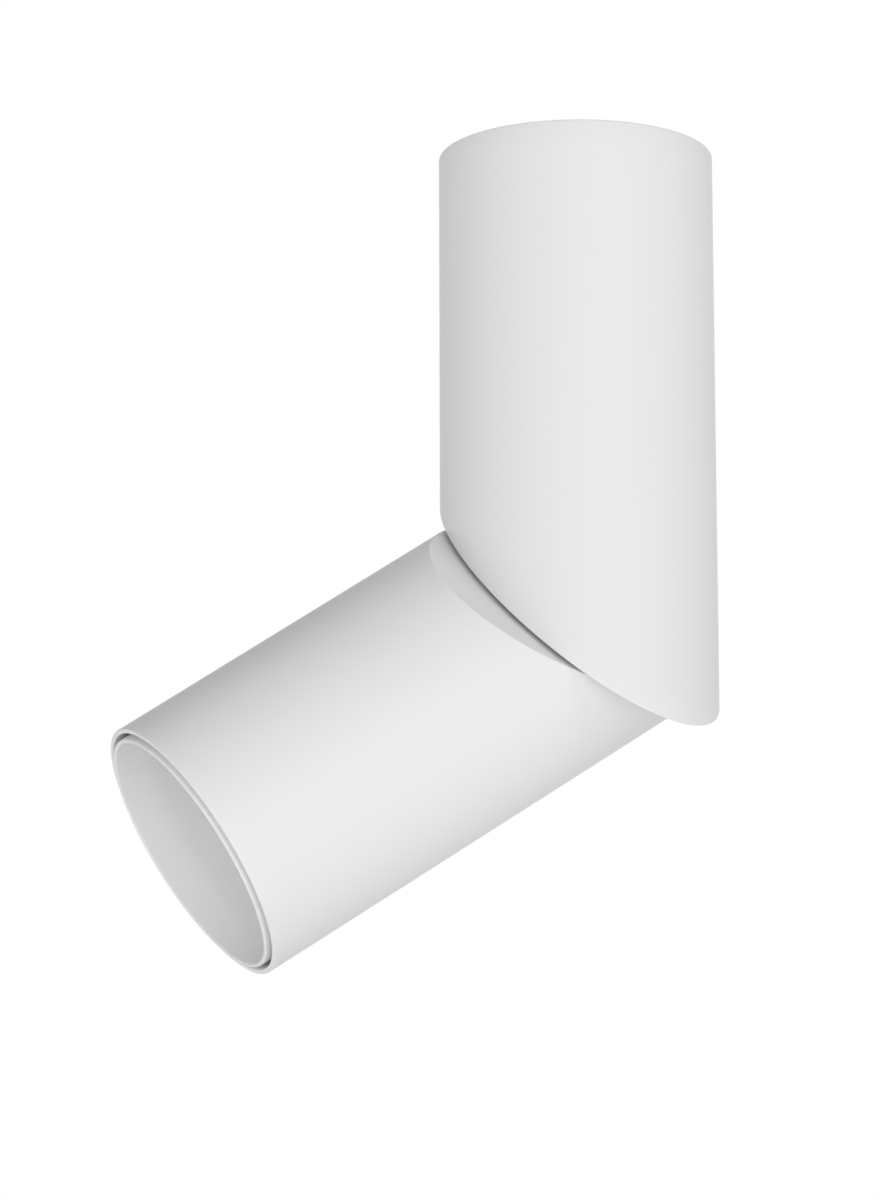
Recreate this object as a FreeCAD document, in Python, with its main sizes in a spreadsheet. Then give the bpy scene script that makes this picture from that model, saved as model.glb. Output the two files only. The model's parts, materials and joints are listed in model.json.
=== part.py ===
import FreeCAD, Part
import math
import os
import re

import Sketcher

# A ceiling spotlight made of two tubes of one diameter.  The upper tube turns on a plate that is
# screwed to the ceiling.  Its lower end is a closed face at 45 degrees, and the head, a second tube
# with the same closed face, turns on it about a hollow pivot that the lead passes through.
#
# The origin is on the upper tube's axis at the ceiling and +Z is up.  The head is drawn hanging
# straight down under the centre of its own mitre face, and head_frame then turns it on the pivot.

Vector = FreeCAD.Vector

# How far a measured edge may lie from the place it is looked for, in millimetres.
FOUND_WITHIN = 0.01

# Driving sizes, in millimetres and degrees.
SIZES = {
    # the two tubes
    "tube_diameter": 80.0,
    "tube_wall": 1.5,
    "upper_length": 134.5,
    "head_length": 135.5,
    "ceiling_clearance": 0.5,
    "mitre_angle": 45.0,
    "mitre_wall": 3.0,
    "mitre_gap": 1.2,
    "mitre_round": 0.8,
    "mouth_round": 0.4,
    "head_turn": 83.8,
    # clearances that fits share
    "running_clearance": 0.05,
    "loose_clearance": 0.3,
    # ceiling plate and what is fixed to it
    "plate_thickness": 2.0,
    "plate_clearance": 0.8,
    "cable_hole_diameter": 14.0,
    "screw_slot_spacing": 54.0,
    "screw_slot_width": 4.5,
    "screw_slot_length": 9.0,
    "grommet_bore": 9.0,
    "grommet_flange_width": 2.0,
    "grommet_flange_thickness": 1.2,
    "terminal_length": 30.0,
    "terminal_width": 14.0,
    "terminal_depth": 15.0,
    "terminal_offset": 20.0,
    "terminal_pitch": 10.0,
    "terminal_hole_diameter": 4.0,
    "terminal_screw_diameter": 3.5,
    "terminal_screw_row": 3.5,
    "terminal_recess": 2.0,
    "terminal_hole_drop": 5.0,
    "terminal_slot_width": 0.6,
    "terminal_slot_depth": 0.7,
    "earth_screw_diameter": 4.0,
    "earth_head_diameter": 8.0,
    "earth_head_height": 2.6,
    "earth_slot_width": 1.0,
    "earth_slot_depth": 1.3,
    "earth_screw_x": 17.0,
    "stop_post_diameter": 3.0,
    "stop_post_angle": 225.0,
    # swivel ring in the upper tube, and the clips that run in its groove
    "ring_drop": 3.5,
    "ring_height": 15.0,
    "ring_wall": 3.0,
    "groove_drop": 9.0,
    "groove_depth": 1.3,
    "groove_mouth": 6.2,
    "groove_floor": 4.0,
    "stop_tab_height": 3.0,
    "stop_tab_reach": 4.0,
    "stop_tab_width": 4.0,
    "clip_count": 3,
    "clip_thickness": 0.8,
    "clip_width": 10.0,
    "clip_inset": 1.0,
    "clip_foot": 8.5,
    "clip_bulge_height": 7.0,
    "clip_tail": 2.2,
    "clip_tail_lean": 0.8,
    "clip_first_angle": 30.0,
    "rivet_diameter": 2.5,
    "rivet_head_diameter": 4.5,
    "rivet_head_height": 1.0,
    "rivet_edge": 3.0,
    # pivot through the two mitre faces
    "pivot_diameter": 10.0,
    "pivot_bore": 7.0,
    "pivot_flat": 0.8,
    "pivot_projection": 1.5,
    "boss_diameter": 24.0,
    "boss_height": 3.0,
    "nut_width": 14.0,
    "nut_thickness": 4.0,
    "lock_washer_diameter": 18.0,
    "lock_washer_thickness": 1.0,
    "mitre_washer_diameter": 44.0,
    "inner_washer_diameter": 22.0,
    "inner_washer_thickness": 1.0,
    "spring_washer_diameter": 20.0,
    "spring_washer_thickness": 0.8,
    "spring_washer_rise": 0.7,
    "stop_washer_diameter": 21.0,
    "stop_washer_thickness": 1.5,
    "tab_width": 4.0,
    "tab_reach": 17.0,
    "stop_pin_diameter": 3.0,
    "stop_pin_distance": 15.0,
    "stop_pin_seat": 2.0,
    "stop_pin_projection": 0.8,
    "bush_length": 5.0,
    "bush_flange_diameter": 9.6,
    "bush_flange_thickness": 1.0,
    # leads
    "lead_diameter": 5.0,
    "lead_meeting_drop": 36.0,
    "terminal_lead_drop": 11.0,
    "lead_straight": 24.0,
    "lead_approach": 26.0,
    "lead_clearance": 6.0,
    # bracket and lampholder
    "seat_depth": 27.0,
    "seat_reach": 14.0,
    "bracket_thickness": 1.5,
    "bracket_width": 26.0,
    "bracket_bend": 1.0,
    "flange_length": 20.0,
    "flange_screw_reach": 11.0,
    "flange_screw_spacing": 16.0,
    "bracket_boss_diameter": 7.0,
    "bracket_boss_height": 3.0,
    "small_screw_diameter": 3.0,
    "small_screw_head_diameter": 5.6,
    "small_screw_head_height": 2.0,
    "small_screw_grip": 4.5,
    "tapped_run_out": 0.5,
    "holder_diameter": 28.0,
    "holder_height": 20.0,
    "holder_round": 1.5,
    "holder_screw_spacing": 18.0,
    "holder_lead_drop": 13.0,
    # lamp
    "lamp_diameter": 50.0,
    "lamp_length": 46.5,
    "lamp_base_diameter": 18.0,
    "lamp_neck_diameter": 24.0,
    "lamp_neck_height": 12.0,
    "lamp_rim_height": 7.0,
    "lamp_bezel": 1.6,
    "lens_thickness": 1.5,
    "pin_spacing": 10.0,
    "pin_shank_diameter": 3.0,
    "pin_head_diameter": 5.0,
    "pin_length": 6.0,
    "pin_head_height": 3.0,
    "pin_well_margin": 1.0,
    # front baffle
    "lip_projection": 1.1,
    "lip_gap": 1.3,
    "lip_thickness": 2.5,
    "lip_flat": 0.05,
    "lip_height": 4.0,
    "sleeve_wall": 1.2,
    "sleeve_length": 30.0,
    "cone_gap": 1.0,
    "spring_count": 3,
    "spring_strip": 0.4,
    "spring_strip_width": 6.0,
    "spring_span": 20.0,
    "spring_foot": 4.0,
    "spring_depth": 18.0,
    "stud_diameter": 2.0,
    "stud_head_diameter": 3.2,
    "stud_head_height": 0.6,
    "stud_seat": 0.8,
}

# Lengths worked out from the sizes above.
WORKED = {
    "tube_radius": "tube_diameter / 2",
    "bore_radius": "tube_radius - tube_wall",
    "pivot_drop": "upper_length + ceiling_clearance",
    "plate_radius": "bore_radius - plate_clearance",
    "ring_outer": "bore_radius - running_clearance",
    "ring_inner": "ring_outer - ring_wall",
    "groove_radius": "ring_inner + groove_depth",
    "clip_face": "ring_inner - clip_inset",
    "clip_bulge": "sqrt((groove_radius - loose_clearance) ^ 2 - clip_width ^ 2 / 4) - clip_face",
    "clip_bulge_radius": "(clip_bulge_height ^ 2 / 4 + clip_bulge ^ 2) / (2 * clip_bulge)",
    "clip_back_bulge_radius": "clip_bulge_radius - clip_thickness",
    "clip_bulge_centre": "clip_face + clip_bulge - clip_bulge_radius",
    "clip_back": "clip_face - clip_thickness",
    "clip_back_half": "sqrt(clip_back_bulge_radius ^ 2 - (clip_back - clip_bulge_centre) ^ 2)",
    "rivet_radius_out": "clip_face - clip_foot + rivet_edge",
    "stop_circle": "ring_inner - stop_tab_reach / 2",
    "wall_to_boss": "mitre_wall + boss_height",
    "pivot_cut": "4 * wall_to_boss",
    "upper_nut_seat": "wall_to_boss + lock_washer_thickness",
    "upper_nut_top": "upper_nut_seat + nut_thickness",
    "pivot_top": "upper_nut_top + pivot_projection",
    "head_boss_top": "mitre_gap + wall_to_boss",
    "spring_seat": "head_boss_top + inner_washer_thickness",
    "stop_washer_seat": "spring_seat + spring_washer_thickness + spring_washer_rise",
    "lower_nut_seat": "stop_washer_seat + stop_washer_thickness",
    "lower_nut_end": "lower_nut_seat + nut_thickness",
    "pivot_end": "lower_nut_end + pivot_projection",
    "bend_back": "(seat_depth * cos(mitre_angle) - mitre_wall - bracket_boss_height) / sin(mitre_angle)",
    "bend_front": "bend_back - bracket_thickness * (1 - cos(mitre_angle)) / sin(mitre_angle)",
    "screw_slope": "bend_back * cos(mitre_angle) + seat_depth * sin(mitre_angle) + flange_screw_reach",
    "tapped_depth": "small_screw_grip + tapped_run_out",
    "lead_hole_radius": "lead_diameter / 2 + running_clearance",
    "holder_top": "seat_depth + bracket_thickness",
    "holder_end": "holder_top + holder_height",
    "lamp_front": "holder_end + lamp_length",
    "lip_outer": "bore_radius - lip_gap",
    "lip_inner": "lip_outer - lip_thickness",
    "lip_front": "head_length + lip_projection",
    "lip_round": "(lip_thickness - lip_flat) / 2",
    "sleeve_inner": "lip_inner",
    "sleeve_outer": "sleeve_inner + sleeve_wall",
    "sleeve_back": "head_length - sleeve_length",
    "cone_inner": "lamp_diameter / 2 + cone_gap",
    "cone_back": "lamp_front + cone_gap",
    "spring_apex": "sqrt((bore_radius - loose_clearance) ^ 2 - spring_strip_width ^ 2 / 4)",
    "spring_rise": "spring_apex - sleeve_outer - spring_strip",
}

doc = FreeCAD.newDocument("CeilingSpotlight")
sheet = doc.addObject("Spreadsheet::Sheet", "Sizes")
for row, (name, size) in enumerate(SIZES.items(), 1):
    sheet.set(f"A{row}", name)
    sheet.set(f"B{row}", str(size))
    sheet.setAlias(f"B{row}", name)
doc.recompute()


# ---------------------------------------------------------------- expressions and reference frames

def formula(text):
    """The text with each size as its cell and each worked-out length in terms of the cells."""
    def swap(match):
        word = match.group(0)
        if word in WORKED:
            return "(" + formula(WORKED[word]) + ")"
        if word in SIZES:
            return "Sizes." + word
        return word
    return re.sub(r"[a-z_]+", swap, str(text))


def bind(thing, prop, text):
    thing.setExpression(prop, formula(text))


def worked(text):
    """The number that an expression gives now."""
    return float(sheet.evalExpression(formula(text)))


def frame(name, base, rotation):
    """A reference frame that the pieces of one body are placed on."""
    made = doc.addObject("App::Placement", name)
    bind(made, "Placement", f"placement({base}; {rotation})")
    return made


MITRE_CENTRE = "vector(0; 0; -(pivot_drop))"
HEAD_CENTRE = ("vector(-mitre_gap * sin(mitre_angle); 0; "
               "-(pivot_drop) - mitre_gap * cos(mitre_angle))")
HEAD_ROTATION = "rotation(vector(-sin(mitre_angle); 0; -cos(mitre_angle)); head_turn)"

# pivot_frame has +Z square to the mitre face and into the upper tube.  head_frame has the head's
# axis as -Z.  head_pivot_frame is pivot_frame turned with the head.
pivot_frame = frame("pivot_frame", MITRE_CENTRE, "rotationy(mitre_angle)")
head_frame = frame("head_frame", HEAD_CENTRE, HEAD_ROTATION)
head_pivot_frame = frame("head_pivot_frame", HEAD_CENTRE, f"{HEAD_ROTATION} * rotationy(mitre_angle)")
doc.recompute()

PIECES = []


def piece(label, on=None):
    """An empty body for one sub-part, placed on its frame."""
    body = doc.addObject("PartDesign::Body", label)
    body.Label = label
    if on:
        body.setExpression("Placement", on.Name + ".Placement")
    PIECES.append(body)
    return body


# ---------------------------------------------------------------- sketches

def origin_plane(body, role):
    return next(item for item in body.Origin.OriginFeatures if item.Role == role)


def slanted_plane(body, name, centre, offset="0"):
    """A plane parallel to the mitre face, centred on the pivot: offset is square to the face."""
    plane = body.newObject("PartDesign::Plane", name)
    plane.AttachmentSupport = [(origin_plane(body, "XY_Plane"), "")]
    plane.MapMode = "FlatFace"
    place = f"vector(({offset}) * sin(mitre_angle); 0; {centre} + ({offset}) * cos(mitre_angle))"
    bind(plane, "AttachmentOffset", f"placement({place}; rotationy(mitre_angle))")
    return plane


def new_sketch(body, name, plane, lift):
    sketch = body.newObject("Sketcher::SketchObject", name)
    support = origin_plane(body, plane) if isinstance(plane, str) else plane
    sketch.AttachmentSupport = [(support, "")]
    sketch.MapMode = "FlatFace"
    if lift:
        bind(sketch, "AttachmentOffset", f"placement(vector(0; 0; {lift}); rotationz(0))")
    return sketch


def fix_point(sketch, geometry, point, corner):
    """Ties one sketch point to its two distances from the sketch's origin."""
    for kind, text in zip(("DistanceX", "DistanceY"), corner):
        index = sketch.addConstraint(Sketcher.Constraint(kind, -1, 1, geometry, point, worked(text)))
        bind(sketch, f"Constraints[{index}]", text)


def arc_between(first, last, radius, side):
    """The shorter arc between two points.  It bulges to the left of the way there at side 1."""
    along = last - first
    rise = math.sqrt(max(radius ** 2 - along.Length ** 2 / 4, 0))
    left = Vector(-along.y, along.x, 0).normalize()
    centre = (first + last) / 2 - left * side * rise
    top = centre + left * side * radius
    return Part.Arc(first, top, last)


def outline(body, name, corners, plane="XZ_Plane", lift=None, arcs=None):
    """A closed outline through corners.  arcs gives the edges, by number, that are arcs."""
    sketch = new_sketch(body, name, plane, lift)
    arcs = arcs or {}
    points = [Vector(worked(across), worked(up), 0) for across, up in corners]
    ends = []
    for number, first in enumerate(points):
        last = points[(number + 1) % len(points)]
        if number in arcs:
            radius, side = arcs[number]
            sketch.addGeometry(arc_between(first, last, worked(radius), side), False)
            # an arc is kept counter-clockwise, so one that bulges left runs from last to first
            ends.append((2, 1) if side > 0 else (1, 2))
            index = sketch.addConstraint(Sketcher.Constraint("Radius", number, worked(radius)))
            bind(sketch, f"Constraints[{index}]", radius)
        else:
            sketch.addGeometry(Part.LineSegment(first, last), False)
            ends.append((1, 2))
    for number, corner in enumerate(corners):
        fix_point(sketch, number, ends[number][0], corner)
        before = number - 1 if number else len(points) - 1
        sketch.addConstraint(
            Sketcher.Constraint("Coincident", before, ends[before][1], number, ends[number][0]))
    return sketch


def circles(body, name, rounds, plane="XY_Plane", lift=None):
    """Circles, each given by its diameter and the two distances of its centre."""
    sketch = new_sketch(body, name, plane, lift)
    for number, (diameter, across, up) in enumerate(rounds):
        centre = Vector(worked(across), worked(up), 0)
        sketch.addGeometry(Part.Circle(centre, Vector(0, 0, 1), worked(diameter) / 2), False)
        index = sketch.addConstraint(Sketcher.Constraint("Diameter", number, worked(diameter)))
        bind(sketch, f"Constraints[{index}]", diameter)
        fix_point(sketch, number, 3, (across, up))
    return sketch


def rectangle(across_low, up_low, across_high, up_high):
    return [(across_low, up_low), (across_high, up_low), (across_high, up_high), (across_low, up_high)]


def slot_corners(across, up, length, width):
    """A round-ended slot along the first axis, as four corners joined by two near half-circles."""
    half = f"(({length}) - ({width})) / 2"
    return [
        (f"{across} - {half}", f"{up} - ({width}) / 2"),
        (f"{across} + {half}", f"{up} - ({width}) / 2"),
        (f"{across} + {half}", f"{up} + ({width}) / 2"),
        (f"{across} - {half}", f"{up} + ({width}) / 2"),
    ]


def hexagon(width):
    corner = f"({width}) / sqrt(3)"
    return [(f"{corner} * cos({60 * step})", f"{corner} * sin({60 * step})") for step in range(6)]


# ---------------------------------------------------------------- features

def pad(body, sketch, height, down=False, both_ways=False):
    feature = body.newObject("PartDesign::Pad", sketch.Name + "_pad")
    feature.Profile = sketch
    bind(feature, "Length", height)
    feature.Reversed = down
    feature.SideType = "Symmetric" if both_ways else "One side"
    doc.recompute()
    return feature


def pocket(body, sketch, depth=None, up=False, both_ways=False, up_to=None):
    """A cut along the sketch's normal, downwards unless up: to a depth, a plane or right through."""
    before = body.Shape.Volume
    feature = body.newObject("PartDesign::Pocket", sketch.Name + "_cut")
    feature.Profile = sketch
    feature.SideType = "Symmetric" if both_ways else "One side"
    feature.Reversed = up
    if up_to:
        feature.Type = "UpToFace"
        feature.UpToFace = (up_to, [""])
    elif depth:
        bind(feature, "Length", depth)
    else:
        feature.Type = "ThroughAll"
    doc.recompute()
    if body.Shape.Volume >= before:
        raise ValueError(f"{body.Label}: {sketch.Name} cuts nothing")
    return feature


def turned(body, sketch):
    """The solid of revolution of an outline about the body's axis."""
    feature = body.newObject("PartDesign::Revolution", sketch.Name + "_turned")
    feature.Profile = sketch
    feature.ReferenceAxis = (sketch, ["V_Axis"])
    feature.Angle = 360
    doc.recompute()
    return feature


def rounded(body, name, size, chosen):
    """Rounds the body's edges that chosen picks."""
    base = body.Tip
    names = [f"Edge{number}" for number, edge in enumerate(base.Shape.Edges, 1) if chosen(edge)]
    if not names:
        raise ValueError(f"{body.Label}: {name} finds no edge")
    feature = body.newObject("PartDesign::Fillet", name)
    feature.Base = (base, names)
    bind(feature, "Radius", size)
    body.Tip = feature
    doc.recompute()
    return feature


def around(body, name, features, count):
    """Copies of features, equally spaced round the body's axis."""
    pattern = body.newObject("PartDesign::PolarPattern", name)
    pattern.Originals = features
    pattern.Axis = (origin_plane(body, "Z_Axis"), [""])
    pattern.Angle = 360
    bind(pattern, "Occurrences", count)
    body.Tip = pattern
    doc.recompute()
    return pattern


def near(value, text):
    return abs(value - worked(text)) < FOUND_WITHIN


def circle_at(radius, height):
    """Picks the round edge about the body's axis of one radius at one height."""
    def chosen(edge):
        round_edge = isinstance(edge.Curve, Part.Circle)
        return round_edge and near(edge.Curve.Radius, radius) and near(edge.Curve.Center.z, height)
    return chosen


def mitre_edge(radius, height):
    """Picks the ellipse where a cylinder of one radius meets the mitre plane at a height."""
    def chosen(edge):
        if not isinstance(edge.Curve, Part.Ellipse):
            return False
        centre = edge.Curve.Center
        return near(centre.z, height) and near(edge.Curve.MinorRadius, radius)
    return chosen


def ring(label, outer, inner, low, high, on=None):
    """A plain ring, from its outer and inner radius and its two end heights."""
    body = piece(label, on)
    corners = rectangle(inner, low, outer, high)
    turned(body, outline(body, label + "_outline", corners))
    return body


# ---------------------------------------------------------------- leads

BEND_SHARE = 0.45


def lead(label, route, on=None):
    """A sleeved lead along straight runs joined by tangent arcs in its route's plane."""
    radius = sheet.get("lead_diameter") / 2
    points = [Vector(worked(x), worked(y), worked(z)) for x, y, z in route]
    edges = []
    start = points[0]
    for before, corner, after in zip(points, points[1:], points[2:]):
        back = before - corner
        ahead = after - corner
        turn = math.pi - back.getAngle(ahead)
        cut = BEND_SHARE * min(back.Length, ahead.Length)
        bend = cut / math.tan(turn / 2)
        back.normalize()
        ahead.normalize()
        centre_way = (back + ahead).normalize()
        middle = corner + centre_way * (bend / math.cos(turn / 2) - bend)
        edges.append(Part.LineSegment(start, corner + back * cut).toShape())
        edges.append(Part.Arc(corner + back * cut, middle, corner + ahead * cut).toShape())
        start = corner + ahead * cut
        print(f"{label}: bend radius {bend:.1f} mm")
    edges.append(Part.LineSegment(start, points[-1]).toShape())
    path = Part.Wire(edges)
    section = Part.Wire([Part.Circle(points[0], points[1] - points[0], radius).toShape()])
    solid = path.makePipeShell([section], True, False)
    expected = math.pi * radius ** 2 * path.Length
    print(f"{label}: length {path.Length:.1f} mm, volume {solid.Volume:.0f} of {expected:.0f}")
    made = doc.addObject("Part::Feature", label)
    made.Label = label
    made.Shape = solid
    if on:
        made.setExpression("Placement", on.Name + ".Placement")
    PIECES.append(made)
    return made


# ---------------------------------------------------------------- ceiling plate and its parts

# A slot's end arc is this much larger than a half-circle's, so that its side is never in doubt.
OVER_HALF = 1.0002


def rivet_place(angle):
    return f"rivet_radius_out * cos({angle})", f"rivet_radius_out * sin({angle})"


def clip_angles():
    count = int(sheet.get("clip_count"))
    return [f"clip_first_angle + {turn} * 360 / clip_count" for turn in range(count)]


def build_ceiling_plate():
    body = piece("ceiling_plate")
    disc = circles(body, "plate_disc", [("2 * plate_radius", 0, 0), ("cable_hole_diameter", 0, 0)])
    pad(body, disc, "plate_thickness", down=True)
    for side, name in ((1, "right"), (-1, "left")):
        corners = slot_corners(f"{side} * screw_slot_spacing / 2", "0",
                               "screw_slot_length", "screw_slot_width")
        end = f"screw_slot_width / 2 * {OVER_HALF}"
        arcs = {1: (end, -1), 3: (end, -1)}
        pocket(body, outline(body, f"screw_slot_{name}", corners, "XY_Plane", arcs=arcs))
    hole = "rivet_diameter + 2 * running_clearance"
    holes = [(hole, *rivet_place(angle)) for angle in clip_angles()]
    holes.append(("earth_screw_diameter + 2 * running_clearance", "-earth_screw_x", "-earth_screw_x"))
    holes.append(("stop_post_diameter + 2 * running_clearance",
                  "stop_circle * cos(stop_post_angle)", "stop_circle * sin(stop_post_angle)"))
    pocket(body, circles(body, "plate_holes", holes))
    return body


def build_cable_grommet():
    body = piece("cable_grommet")
    bore = "grommet_bore / 2"
    body_radius = "cable_hole_diameter / 2 - running_clearance"
    flange = "cable_hole_diameter / 2 + grommet_flange_width"
    end = "-plate_thickness - grommet_flange_thickness"
    corners = [(bore, end), (flange, end), (flange, "-plate_thickness"),
               (body_radius, "-plate_thickness"), (body_radius, "0"), (bore, "0")]
    turned(body, outline(body, "grommet_outline", corners))
    return body


def terminal_places():
    return [(f"{pole} * terminal_pitch", f"terminal_offset + {side} * terminal_screw_row")
            for pole in (-1, 0, 1) for side in (-1, 1)]


def build_terminal_block():
    body = piece("terminal_block")
    corners = rectangle("-terminal_length / 2", "terminal_offset - terminal_width / 2",
                        "terminal_length / 2", "terminal_offset + terminal_width / 2")
    block = outline(body, "terminal_outline", corners, "XY_Plane", lift="-plate_thickness")
    pad(body, block, "terminal_depth", down=True)
    wells = [("terminal_screw_diameter + 2 * loose_clearance", x, y) for x, y in terminal_places()]
    floor = "-plate_thickness - terminal_depth"
    pocket(body, circles(body, "screw_wells", wells, lift=floor),
           "terminal_recess + terminal_screw_diameter / 2", up=True)
    entries = [("terminal_hole_diameter", f"{pole} * terminal_pitch",
                "-plate_thickness - terminal_hole_drop") for pole in (-1, 1)]
    pocket(body, circles(body, "wire_entries", entries, "XZ_Plane"), both_ways=True)
    return body


def build_terminal_screws():
    body = piece("terminal_screws")
    floor = "-plate_thickness - terminal_depth + terminal_recess"
    heads = [("terminal_screw_diameter", x, y) for x, y in terminal_places()]
    pad(body, circles(body, "terminal_heads", heads, lift=floor), "terminal_screw_diameter / 2")
    for number, (x, y) in enumerate(terminal_places()):
        cut = rectangle(f"{x} - terminal_screw_diameter", f"{y} - terminal_slot_width / 2",
                        f"{x} + terminal_screw_diameter", f"{y} + terminal_slot_width / 2")
        slot = outline(body, f"driver_slot_{number}", cut, "XY_Plane", lift=floor)
        pocket(body, slot, "terminal_slot_depth", up=True)
    return body


def build_earth_screw():
    body = piece("earth_screw")
    where = ("-earth_screw_x", "-earth_screw_x")
    shank = circles(body, "earth_shank", [("earth_screw_diameter", *where)])
    pad(body, shank, "plate_thickness + earth_head_height / 2", down=True)
    head = circles(body, "earth_head", [("earth_head_diameter", *where)], lift="-plate_thickness")
    pad(body, head, "earth_head_height", down=True)
    cut = rectangle("-earth_screw_x - earth_head_diameter", "-earth_screw_x - earth_slot_width / 2",
                    "-earth_screw_x + earth_head_diameter", "-earth_screw_x + earth_slot_width / 2")
    slot = outline(body, "earth_slot", cut, "XY_Plane", lift="-plate_thickness - earth_head_height")
    pocket(body, slot, "earth_slot_depth", up=True)
    return body


def build_spring_clips():
    """Leaf clips: a foot under the plate, a leaf down, and a bulge that runs in the groove."""
    body = piece("spring_clips")
    foot_in = "clip_face - clip_foot"
    back = "clip_back"
    under = "-plate_thickness"
    bulge_top = "-groove_drop + clip_bulge_height / 2"
    bulge_end = "-groove_drop - clip_bulge_height / 2"
    tail_end = "-groove_drop - clip_bulge_height / 2 - clip_tail"
    corners = [
        (foot_in, under), ("clip_face", under), ("clip_face", bulge_top), ("clip_face", bulge_end),
        ("clip_face - clip_tail_lean", tail_end), (f"{back} - clip_tail_lean", tail_end),
        (back, "-groove_drop - clip_back_half"), (back, "-groove_drop + clip_back_half"),
        (back, f"{under} - clip_thickness"), (foot_in, f"{under} - clip_thickness"),
    ]
    arcs = {2: ("clip_bulge_radius", 1), 6: ("clip_back_bulge_radius", -1)}
    leaf = pad(body, outline(body, "clip_outline", corners, arcs=arcs), "clip_width", both_ways=True)
    hole = circles(body, "clip_hole", [("rivet_diameter + 2 * running_clearance",
                                        "rivet_radius_out", 0)])
    drilled = pocket(body, hole)
    around(body, "clip_set", [leaf, drilled], "clip_count")
    turn_set(body, "clip_first_angle")
    return body


def turn_set(body, angle):
    """Turns a whole set of copies about the upright axis."""
    bind(body, "Placement", f"placement(vector(0; 0; 0); rotationz({angle}))")


def build_clip_rivets():
    body = piece("clip_rivets")
    under = "-plate_thickness - clip_thickness"
    shanks = [("rivet_diameter", *rivet_place(angle)) for angle in clip_angles()]
    heads = [("rivet_head_diameter", *rivet_place(angle)) for angle in clip_angles()]
    pad(body, circles(body, "rivet_shanks", shanks),
        "plate_thickness + clip_thickness + rivet_head_height / 2", down=True)
    pad(body, circles(body, "rivet_heads", heads, lift=under), "rivet_head_height", down=True)
    return body


def build_stop_post():
    body = piece("stop_post")
    where = ("stop_circle * cos(stop_post_angle)", "stop_circle * sin(stop_post_angle)")
    sketch = circles(body, "post_round", [("stop_post_diameter", *where)])
    pad(body, sketch, "ring_drop + ring_height", down=True)
    return body


def build_supply_lead():
    """From the terminal block's face, round to the turning axis and straight down it."""
    face = "terminal_offset - terminal_width / 2"
    high = "-plate_thickness - terminal_lead_drop"
    route = [
        ("0", face, high),
        ("0", f"({face}) / 2", high),
        ("0", "0", f"{high} - ({face}) / 2"),
        ("0", "0", "-lead_meeting_drop"),
    ]
    return lead("supply_lead", route)


# ---------------------------------------------------------------- upper tube

def build_upper_tube():
    body = piece("upper_tube")
    rim = "-ceiling_clearance"
    stock = circles(body, "upper_stock", [("tube_diameter", 0, 0)], lift=rim)
    pad(body, stock, "upper_length + tube_radius * tan(mitre_angle)", down=True)
    mitre = slanted_plane(body, "upper_mitre_plane", "-(pivot_drop)")
    beyond = circles(body, "upper_mitre", [("3 * tube_diameter", 0, 0)], mitre)
    pocket(body, beyond)
    inner = slanted_plane(body, "upper_inner_plane", "-(pivot_drop)", "mitre_wall")
    bore = circles(body, "upper_bore", [("2 * bore_radius", 0, 0)], lift=rim)
    pocket(body, bore, up_to=inner)
    boss = circles(body, "upper_boss", [("boss_diameter", 0, 0)], inner)
    pad(body, boss, "boss_height")
    hole = circles(body, "upper_pivot_hole", [("pivot_diameter + 2 * running_clearance", 0, 0)], inner)
    pocket(body, hole, "pivot_cut", both_ways=True)
    rounded(body, "upper_mitre_round", "mitre_round", mitre_edge("tube_radius", "-(pivot_drop)"))
    rounded(body, "upper_rim_round", "mouth_round", circle_at("tube_radius", rim))
    return body


def build_swivel_ring():
    """Ring pressed in the tube: its groove runs on the clips, and its tab meets the stop post."""
    body = piece("swivel_ring")
    top = "-ring_drop"
    end = "-ring_drop - ring_height"
    corners = [
        ("ring_inner", end), ("ring_outer", end), ("ring_outer", top), ("ring_inner", top),
        ("ring_inner", "-groove_drop + groove_mouth / 2"),
        ("groove_radius", "-groove_drop + groove_floor / 2"),
        ("groove_radius", "-groove_drop - groove_floor / 2"),
        ("ring_inner", "-groove_drop - groove_mouth / 2"),
    ]
    turned(body, outline(body, "swivel_ring_outline", corners))
    reach = rectangle("ring_inner - stop_tab_reach", "-stop_tab_width / 2",
                      "ring_inner + ring_wall / 2", "stop_tab_width / 2")
    tab = outline(body, "stop_tab", reach, "XY_Plane", lift=end)
    pad(body, tab, "stop_tab_height")
    turn_set(body, "stop_post_angle - 180")
    return body


def build_upper_lead():
    """Down the turning axis, out to one side, and square through the mitre face's pivot."""
    across = "sin(mitre_angle)"
    along = "cos(mitre_angle)"
    approach = "(pivot_top + lead_approach)"
    route = [
        ("0", "0", "-lead_meeting_drop"),
        ("0", "0", "-lead_meeting_drop - lead_straight"),
        (f"{approach} * {across}", "0", f"-(pivot_drop) + {approach} * {along}"),
        (f"-mitre_gap / 2 * {across}", "0", f"-(pivot_drop) - mitre_gap / 2 * {along}"),
    ]
    return lead("upper_lead", route)


# ---------------------------------------------------------------- pivot

def build_pivot_tube():
    body = piece("pivot_tube", pivot_frame)
    corners = rectangle("pivot_bore / 2", "-(pivot_end)", "pivot_diameter / 2", "pivot_top")
    turned(body, outline(body, "pivot_outline", corners))
    cut = rectangle("-pivot_diameter", "pivot_diameter / 2 - pivot_flat",
                    "pivot_diameter", "pivot_diameter")
    flat = outline(body, "pivot_flat_cut", cut, "XY_Plane", lift="-(pivot_end)")
    pocket(body, flat, "pivot_end - head_boss_top", up=True)
    return body


def build_nut(label, seat):
    body = piece(label, pivot_frame)
    sketch = outline(body, label + "_hexagon", hexagon("nut_width"), "XY_Plane", lift=seat)
    pad(body, sketch, "nut_thickness")
    thread = [("pivot_diameter + 2 * running_clearance", 0, 0)]
    hole = circles(body, label + "_thread", thread, lift=seat)
    pocket(body, hole, up=True)
    return body


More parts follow.
